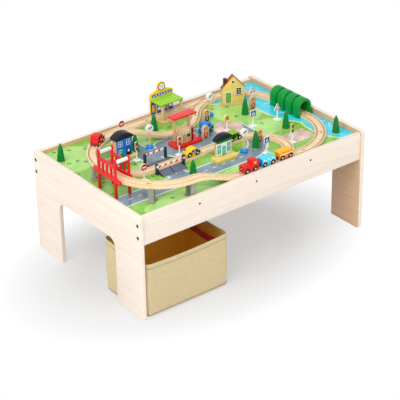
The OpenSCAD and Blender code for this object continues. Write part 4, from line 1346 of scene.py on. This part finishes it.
class TRAINTABLE_OT_houses(Operator):
    """Three houses"""

    bl_idname = "train_table.houses"
    bl_label = "Houses"

    # Corner and turn of the tall house
    tall_spot = (0.258, 0.198)
    tall_turn = -24

    def execute(self, context):
        edge = settings().edges
        house = local(self.tall_spot, self.tall_turn)
        tall_house_from = 0.2
        away = house.to_3x3() @ Vector((0, 1, 0))
        back = house.inverted()

        def cream(middle, normal):
            return int(abs(normal.dot(away)) < 0.5)

        def roof(middle, normal):
            if middle.x < tall_house_from:
                return 0
            spot = back @ middle
            on_chimney = 0.0085 < spot.x < 0.0225 and 0.0085 < spot.y < 0.0195
            return 2 if on_chimney and (abs(normal.z) < 0.2 or normal.z > 0.95) else 1

        def side(middle, normal):
            return int(abs(normal.y) < 0.5)

        def base(middle, normal):
            return int(middle.x > tall_house_from)

        dress("yellow_house", edge.small, [finish("cream"), finish("toy_wood")], pick=cream)
        dress("blue_house", edge.toy, [finish("azure"), finish("toy_wood")], pick=side)
        dress("white_house", edge.toy, [finish("white"), finish("toy_wood")], pick=side)
        dress("house_bases", edge.toy, [finish("cream"), finish("toy_wood")], pick=base)
        dress("house_roofs", edge.small, [finish("black"), finish("brown"), finish("dark_brown")], pick=roof)
        self.tall_house(house)
        self.blue_front()
        self.white_front()
        return {"FINISHED"}

    def panes(self, marks, finish_name, face, size, columns, rows, corner):
        """The panes of one window, on its frame."""
        for across in columns:
            for up in rows:
                marks.plate(finish_name, face, size, (across, up), corner=corner, lift=SECOND)

    def tall_house(self, house):
        """Door, window, sill and round vent on the two long sides."""
        marks = Decals("tall_house")
        for turn, y in ((0, 0.007), (180, 0.021)):
            spot = house @ Vector((0.045, y, 0))
            face = facing(spot.x, spot.y, BOARD_TOP + 0.011, turn + self.tall_turn)
            marks.plate("white", face, (0.028, 0.045), (-0.018, 0.0225), corner=0.001)
            marks.plate("leaf", face, (0.022, 0.041), (-0.018, 0.0208), corner=0.001, lift=SECOND)
            marks.dot("dark_brown", face, 0.0013, (-0.010, 0.02), lift=0.0013, sides=12)
            marks.plate("white", face, (0.022, 0.03), (0.022, 0.044), corner=0.001)
            rows = (0.035, 0.044, 0.053)
            self.panes(marks, "black", face, (0.0082, 0.0074), (0.0172, 0.0268), rows, 0.0005)
            marks.plate("brown", face, (0.025, 0.0026), (0.022, 0.0275), corner=0.001, lift=0.001)
            marks.dot("white", face, 0.0062, (0, 0.083))
            marks.dot("black", face, 0.0045, (0, 0.083), lift=SECOND)
        marks.settle()

    def blue_front(self):
        """Three windows and a door on the front and the back."""
        low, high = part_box("blue_house")
        marks = Decals("blue_house")
        for turn, y in ((0, low.y), (180, high.y)):
            face = facing((low.x + high.x) / 2, y, low.z, turn)
            for across, up in ((-0.017, 0.021), (-0.017, 0.053), (0.017, 0.053)):
                marks.plate("white", face, (0.016, 0.021), (across, up), corner=0.001)
                columns = (across - 0.0036, across + 0.0036)
                rows = (up - 0.0048, up + 0.0048)
                self.panes(marks, "blue", face, (0.0052, 0.0076), columns, rows, 0.0004)
            marks.plate("black", face, (0.018, 0.03), (0.017, 0.0155), corner=0.001)
            marks.plate("white", face, (0.008, 0.01), (0.017, 0.021), corner=0.001, lift=SECOND)
            marks.plate("blue", face, (0.066, 0.0026), (0, 0.0365), corner=0.0005)
        marks.settle()

    def white_front(self):
        """A scalloped band, two windows and a door on the front and the back."""
        low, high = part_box("white_house")
        marks = Decals("white_house")
        for turn, y in ((0, low.y), (180, high.y)):
            face = facing((low.x + high.x) / 2, y, low.z, turn)
            marks.plate("green", face, (0.067, 0.0055), (0, 0.0585), corner=0.0005)
            for i in range(9):
                marks.dot("green", face, 0.0036, ((i - 4) * 0.0072, 0.0545), lift=0.0006, sides=12)
            for across, up, tall in ((-0.0215, 0.028, 0.034), (0.0, 0.019, 0.036), (0.0215, 0.028, 0.034)):
                marks.plate("teal", face, (0.0145, tall), (across, up), corner=0.001)
                marks.plate("white", face, (0.0012, tall - 0.003), (across, up), lift=SECOND)
                marks.plate("white", face, (0.0115, 0.0012), (across, up + 0.003), lift=SECOND)
            marks.plate("teal", face, (0.066, 0.002), (0, 0.0035), corner=0.0005)
        marks.settle()


class TRAINTABLE_OT_crossing(Operator):
    """Level crossing with its gates"""

    bl_idname = "train_table.crossing"
    bl_label = "Level crossing"

    def execute(self, context):
        edge = settings().edges
        toys = settings().toys
        slate = paint("slate_paint", toys.slate, 0.6, 0.0)

        def plate(middle, normal):
            return int(0.5 < normal.z < 0.99 and middle.z < TRACK_TOP + 0.0005)

        dress("crossing_ramps", edge.small, [finish("grey"), slate], pick=plate)
        self.lines()
        banded = stripes("gate_stripes", toys.white, toys.red, 0.024)
        for name in ("gate_arm_front", "gate_arm_back"):
            low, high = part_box(name)
            outer = max(low.y, high.y, key=lambda y: abs(y - SIDING_LINE))

            def pin(middle, normal, outer=outer):
                return int(abs(middle.y - outer) > 0.0042)

            dress(name, edge.small, [banded, finish("steel")], pick=pin)
        return {"FINISHED"}

    def lines(self):
        """Dark lines up the two sloping plates: painted shade in their grooves."""
        run, drop = 0.034, 0.011
        slope = math.atan2(drop, run)
        marks = Decals("crossing")
        for side in (-1, 1):
            for x in (-0.2455, -0.1965, -0.1445):
                middle = Matrix.Translation((x, SIDING_LINE + side * (0.022 + run / 2), TRACK_TOP - drop / 2))
                face = middle @ Matrix.Rotation(-side * slope, 4, "X")
                # Each black line is painted shade in a groove of the plate.
                marks.plate("black", face, (0.003, math.hypot(run, drop) - 0.001))
        marks.settle()


class TRAINTABLE_OT_scenery(Operator):
    """Trees, lamps, road signs and figures"""

    bl_idname = "train_table.scenery"
    bl_label = "Scenery"

    # Half of a sign plate's thickness, and where the signs, lights, lamps and figures stand
    sign_half = 0.002
    rounds = ((-0.176, 0.236), (-0.312, -0.088), (0.145, 0.029))
    squares = ((0.244, 0.0), (0.143, -0.197))
    triangles = ((0.373, 0.160), (0.348, -0.014))
    lights = ((-0.242, 0.051), (-0.102, -0.0115), (0.268, -0.190))
    lamps = ((-0.150, 0.099), (0.178, 0.171), (0.088, -0.139))
    figures = ((0.334, 0.113), (0.134, 0.136), (0.048, 0.033), (0.177, -0.114))

    def execute(self, context):
        edge = settings().edges

        def trunk(middle, normal):
            return int(middle.z < BOARD_TOP + 0.0032)

        def lamp(middle, normal):
            height = middle.z - BOARD_TOP
            return 0 if height < 0.0102 else (1 if height < 0.0615 else 2)

        dress("trees", edge.small, [finish("green"), finish("toy_wood")], pick=trunk)
        dress("lamps", edge.small, [finish("sky"), finish("toy_wood"), finish("white")], pick=lamp)
        dress("signs", edge.small, [finish("white")])
        dress("figures", edge.toy, [finish("toy_wood")])
        marks = Decals("scenery")
        for x, y in self.lamps:
            for turn, out in ((0, -0.005), (180, 0.005)):
                face = facing(x, y + out, BOARD_TOP + 0.077, turn)
                marks.plate("black", face, (0.017, 0.0042), (0.001, 0.003), corner=0.0012, spin=24)
        self.plates(marks)
        self.people(marks)
        marks.settle()
        return {"FINISHED"}

    def plates(self, marks):
        """Faces of the road signs and lights."""
        for i, (x, y) in enumerate(self.rounds):
            face = facing(x, y - self.sign_half, BOARD_TOP + 0.052)
            if i < 2:
                marks.dot("red", face, 0.0122, sides=36)
                marks.plate("white", face, (0.016, 0.0046), corner=0.0006, lift=SECOND)
            else:
                marks.dot("yellow", face, 0.0122, sides=36)
                for spin in (45, -45):
                    marks.plate("black", face, (0.019, 0.0026), corner=0.0003, spin=spin, lift=SECOND)
        for x, y in self.squares:
            face = facing(x, y - self.sign_half, BOARD_TOP + 0.052)
            marks.plate("blue", face, (0.0222, 0.0222), corner=0.002)
            marks.dot("white", face, 0.0092, (0, -0.0015), lift=SECOND, sides=3)
            marks.dot("black", face, 0.0014, (0, 0.0012), lift=THIRD, sides=12)
            marks.plate("black", face, (0.0022, 0.0052), (0, -0.0032), corner=0.0004, lift=THIRD)
        for x, y in self.triangles:
            face = facing(x, y - self.sign_half, BOARD_TOP + 0.048)
            marks.dot("red", face, 0.0158, (0, -0.0004), sides=3)
            marks.dot("white", face, 0.0102, (0, -0.0004), lift=SECOND, sides=3)
            marks.plate("black", face, (0.0018, 0.006), corner=0.0004, lift=THIRD)
            marks.dot("black", face, 0.0011, (0, -0.0042), lift=THIRD, sides=12)
        for x, y in self.lights:
            face = facing(x, y - self.sign_half, BOARD_TOP + 0.052)
            marks.plate("black", face, (0.0106, 0.0322), (0, 0.003), corner=0.0026)
            for name, up in (("red", 0.0132), ("amber", 0.003), ("green", -0.0072)):
                marks.dot(name, face, 0.0038, (0, up), lift=0.0009)

    def people(self, marks):
        """A plain coat and a simple face on both sides of each figure."""
        coats = ("brown", "grey", "red", "dark_brown")
        for (x, y), coat in zip(self.figures, coats):
            for turn, out in ((0, -0.005), (180, 0.005)):
                face = facing(x, y + out, BOARD_TOP, turn)
                marks.plate(coat, face, (0.018, 0.021), (0, 0.0165), corner=0.005)
                marks.plate("white", face, (0.0024, 0.016), (0, 0.0175), corner=0.0008, lift=SECOND)
                marks.plate("black", face, (0.015, 0.004), (0, 0.0045), corner=0.001)
                marks.dot("dark_brown", face, 0.0078, (0, 0.0378))
                marks.dot("skin", face, 0.0064, (0, 0.0362), lift=0.0009)
                for across in (-0.0022, 0.0022):
                    marks.dot("black", face, 0.0007, (across, 0.0372), lift=THIRD, sides=10)
                marks.plate("dark_red", face, (0.003, 0.0006), (0, 0.0334), corner=0.0002, lift=THIRD)


class TRAINTABLE_OT_train(Operator):
    """Engine and two wagons"""

    bl_idname = "train_table.train"
    bl_label = "Train"

    def execute(self, context):
        edge = settings().edges
        middles = [ENGINE_X + TRAIN_PITCH * i for i in range(3)]

        def red(middle, normal):
            return int(middle.x > middles[0] + 0.0329)

        def cyan(middle, normal):
            reach = abs(middle.x - middles[1])
            return 2 if reach > 0.0304 else int(reach > 0.0285 and abs(normal.x) > 0.5)

        def orange(middle, normal):
            if abs(middle.x - middles[2]) > 0.0304:
                return 2
            return int(normal.z > 0.4 and middle.z > TRACK_TOP + 0.02)

        dress("engine", edge.toy, [finish("red"), finish("black")], pick=red)
        dress("wagon_front", edge.small, [finish("cyan"), finish("sky"), finish("black")], pick=cyan)
        dress("wagon_rear", edge.small, [finish("orange"), finish("amber"), finish("black")], pick=orange)
        marks = Decals("train", "train")
        high_spots = ((-0.022, 0.0255), (-0.003, 0.0262), (0.015, 0.0258))
        low_spots = ((-0.013, 0.021), (0.006, 0.0205), (0.0235, 0.0215))
        for turn, out in ((0, -0.015), (180, 0.015)):
            way = 1 if turn == 0 else -1
            cab_side = facing(middles[0], FRONT_LINE + out * 0.8, TRACK_TOP, turn)
            marks.plate("yellow", cab_side, (0.0128, 0.0098), (way * 0.0175, 0.031), corner=0.001)
            side = facing(middles[1], FRONT_LINE + out, TRACK_TOP, turn)
            for radius, spots in ((0.0031, high_spots), (0.0025, low_spots)):
                for across, up in spots:
                    marks.dot("white", side, radius, (way * across, up), sides=20)
            side = facing(middles[2], FRONT_LINE + out, TRACK_TOP, turn)
            marks.plate("white", side, (0.056, 0.0032), (0, 0.0205), corner=0.0006)
        nose = facing(middles[0] - 0.0325, FRONT_LINE, TRACK_TOP, -90)
        marks.dot("dark_red", nose, 0.008, (0, 0.0165))
        marks.dot("yellow", nose, 0.0028, (0, 0.0165), lift=SECOND)
        marks.settle()
        return {"FINISHED"}


class TRAINTABLE_OT_cars(Operator):
    """Four cars"""

    bl_idname = "train_table.cars"
    bl_label = "Cars"

    # Place, height of the wheels' ground and heading
    poses = {
        "red_car": (-0.3466, 0.1365, TRACK_TOP + RISE, 30),
        "yellow_car": (-0.082, SIDING_LINE, TRACK_TOP, 180),
        "blue_truck": (0.080, 0.068, BOARD_TOP + 0.003, 20),
        "lime_car": (0.108, SIDING_LINE, TRACK_TOP, 0),
    }
    # Finish, size, places along the car, height and corner of the windows
    glass = {
        "red_car": ("black", (0.012, 0.0095), (-0.013, 0.002), 0.0268, 0.0024),
        "yellow_car": ("blue", (0.0125, 0.009), (-0.0115, 0.0035), 0.0205, 0.003),
        "blue_truck": ("black", (0.0105, 0.0105), (-0.014, 0.0), 0.0298, 0.003),
        "lime_car": ("black", (0.0115, 0.008), (-0.0088, 0.0048), 0.0228, 0.0028),
    }
    # Finish, size, height and corner of the bar below them
    trim = {
        "red_car": ("white", (0.014, 0.0018), 0.0175, 0.0005),
        "yellow_car": ("orange", (0.018, 0.007), 0.0125, 0.001),
        "blue_truck": ("yellow", (0.012, 0.002), 0.0185, 0.0005),
        "lime_car": ("green", (0.012, 0.002), 0.0155, 0.0005),
    }

    def execute(self, context):
        edge = settings().edges
        coats = {"red_car": "red", "yellow_car": "yellow", "blue_truck": "sky", "lime_car": "lime"}
        for name, coat in coats.items():
            dress(name, edge.toy, [finish(coat)])
        marks = Decals("cars")
        for name, (x, y, z, heading) in self.poses.items():
            place = local((x, y), heading)
            for turn, out in ((0, -0.015), (180, 0.015)):
                way = 1 if turn == 0 else -1
                spot = place @ Vector((0, out, 0))
                side = facing(spot.x, spot.y, z, heading + turn)
                self.side(marks, name, side, way)
            for ahead in (1, -1):
                spot = place @ Vector((0.029 * ahead, 0, 0))
                end = facing(spot.x, spot.y, z, heading + 90 * ahead)
                light = "yellow" if ahead > 0 else "dark_red"
                for across in (-0.0085, 0.0085):
                    marks.dot(light, end, 0.0022, (across, 0.0125), sides=16)
                marks.plate("grey", end, (0.02, 0.0022), (0, 0.0075), corner=0.0008)
        marks.settle()
        return {"FINISHED"}

    def side(self, marks, name, face, way):
        """Two windows and a coloured bar on one side of a car."""
        finish_name, size, places, up, corner = self.glass[name]
        for across in places:
            marks.plate(finish_name, face, size, (way * across, up), corner=corner)
        finish_name, size, up, corner = self.trim[name]
        marks.plate(finish_name, face, size, (0, up), corner=corner)


class TRAINTABLE_OT_wheels(Operator):
    """Wheels of the train and the cars"""

    bl_idname = "train_table.wheels"
    bl_label = "Wheels"

    def execute(self, context):
        axes = {joint["child"]: Vector(joint["axis"]) for joint in frame["record"]["behaviour"]["joints"]}
        for name in sorted(n for n in NODES if "_axle_" in n):
            low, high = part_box(name)
            centre = (low + high) / 2
            axis = axes[BODY_OF[name]].normalized()
            piece = dress(name, 0.0002, [finish("tyre"), finish("steel")])
            spots = [vertex.co - centre for vertex in piece.data.vertices]
            reach = [(spot - axis * spot.dot(axis)).length for spot in spots]
            for face in piece.data.polygons:
                face.material_index = int(max(reach[i] for i in face.vertices) < 0.0018)
            hub = max(abs(spot.dot(axis)) for spot, far in zip(spots, reach) if 0.0025 < far < 0.0065)
            self.caps(name, centre, axis, hub)
        return {"FINISHED"}

    def caps(self, name, centre, axis, hub):
        """A small pale disc over each end of the axle."""
        marks = Decals(name + "_cap", BODY_OF[name])
        for way in (axis, -axis):
            face = Matrix.Translation(centre + way * hub) @ way.to_track_quat("Z", "Y").to_matrix().to_4x4()
            marks.dot("lime" if name.startswith("blue_truck") else "hub", face, 0.0038, lift=0.0007)
        marks.settle()


STEPS = (
    TRAINTABLE_OT_stage,
    TRAINTABLE_OT_table,
    TRAINTABLE_OT_board,
    TRAINTABLE_OT_bin,
    TRAINTABLE_OT_track,
    TRAINTABLE_OT_bridge,
    TRAINTABLE_OT_station,
    TRAINTABLE_OT_houses,
    TRAINTABLE_OT_crossing,
    TRAINTABLE_OT_scenery,
    TRAINTABLE_OT_train,
    TRAINTABLE_OT_cars,
    TRAINTABLE_OT_wheels,
)


class TRAINTABLE_PT_sidebar(Panel):
    """Buttons that dress the table, and its settings"""

    bl_idname = "TRAINTABLE_PT_sidebar"
    bl_label = "Train table"
    bl_space_type = "VIEW_3D"
    bl_region_type = "UI"
    bl_category = "Train table"

    def draw(self, context):
        for step in STEPS:
            self.layout.operator(step.bl_idname)
        for group in ("table", "toys", "edges", "bin", "stage"):
            box = self.layout.box()
            values = getattr(context.scene.train_table, group)
            for name in values.bl_rna.properties.keys():
                if name not in {"rna_type", "name"}:
                    box.prop(values, name)


GROUPS = (TableColours, ToyColours, Edges, BinSizes, StageSettings, TrainTableSettings)
CLASSES = (*GROUPS, *STEPS, TRAINTABLE_PT_sidebar)


def register():
    """Registers the classes and the scene's settings."""
    for cls in CLASSES:
        bpy.utils.register_class(cls)
    bpy.types.Scene.train_table = PointerProperty(type=TrainTableSettings)


def unregister():
    """Takes the settings and classes away."""
    del bpy.types.Scene.train_table
    for cls in reversed(CLASSES):
        bpy.utils.unregister_class(cls)


def main():
    """Dresses the table in order."""
    register()
    bpy.ops.train_table.stage()
    bpy.ops.train_table.table()
    bpy.ops.train_table.board()
    bpy.ops.train_table.bin()
    bpy.ops.train_table.track()
    bpy.ops.train_table.bridge()
    bpy.ops.train_table.station()
    bpy.ops.train_table.houses()
    bpy.ops.train_table.crossing()
    bpy.ops.train_table.scenery()
    bpy.ops.train_table.train()
    bpy.ops.train_table.cars()
    bpy.ops.train_table.wheels()


if __name__ == "__main__":
    main()
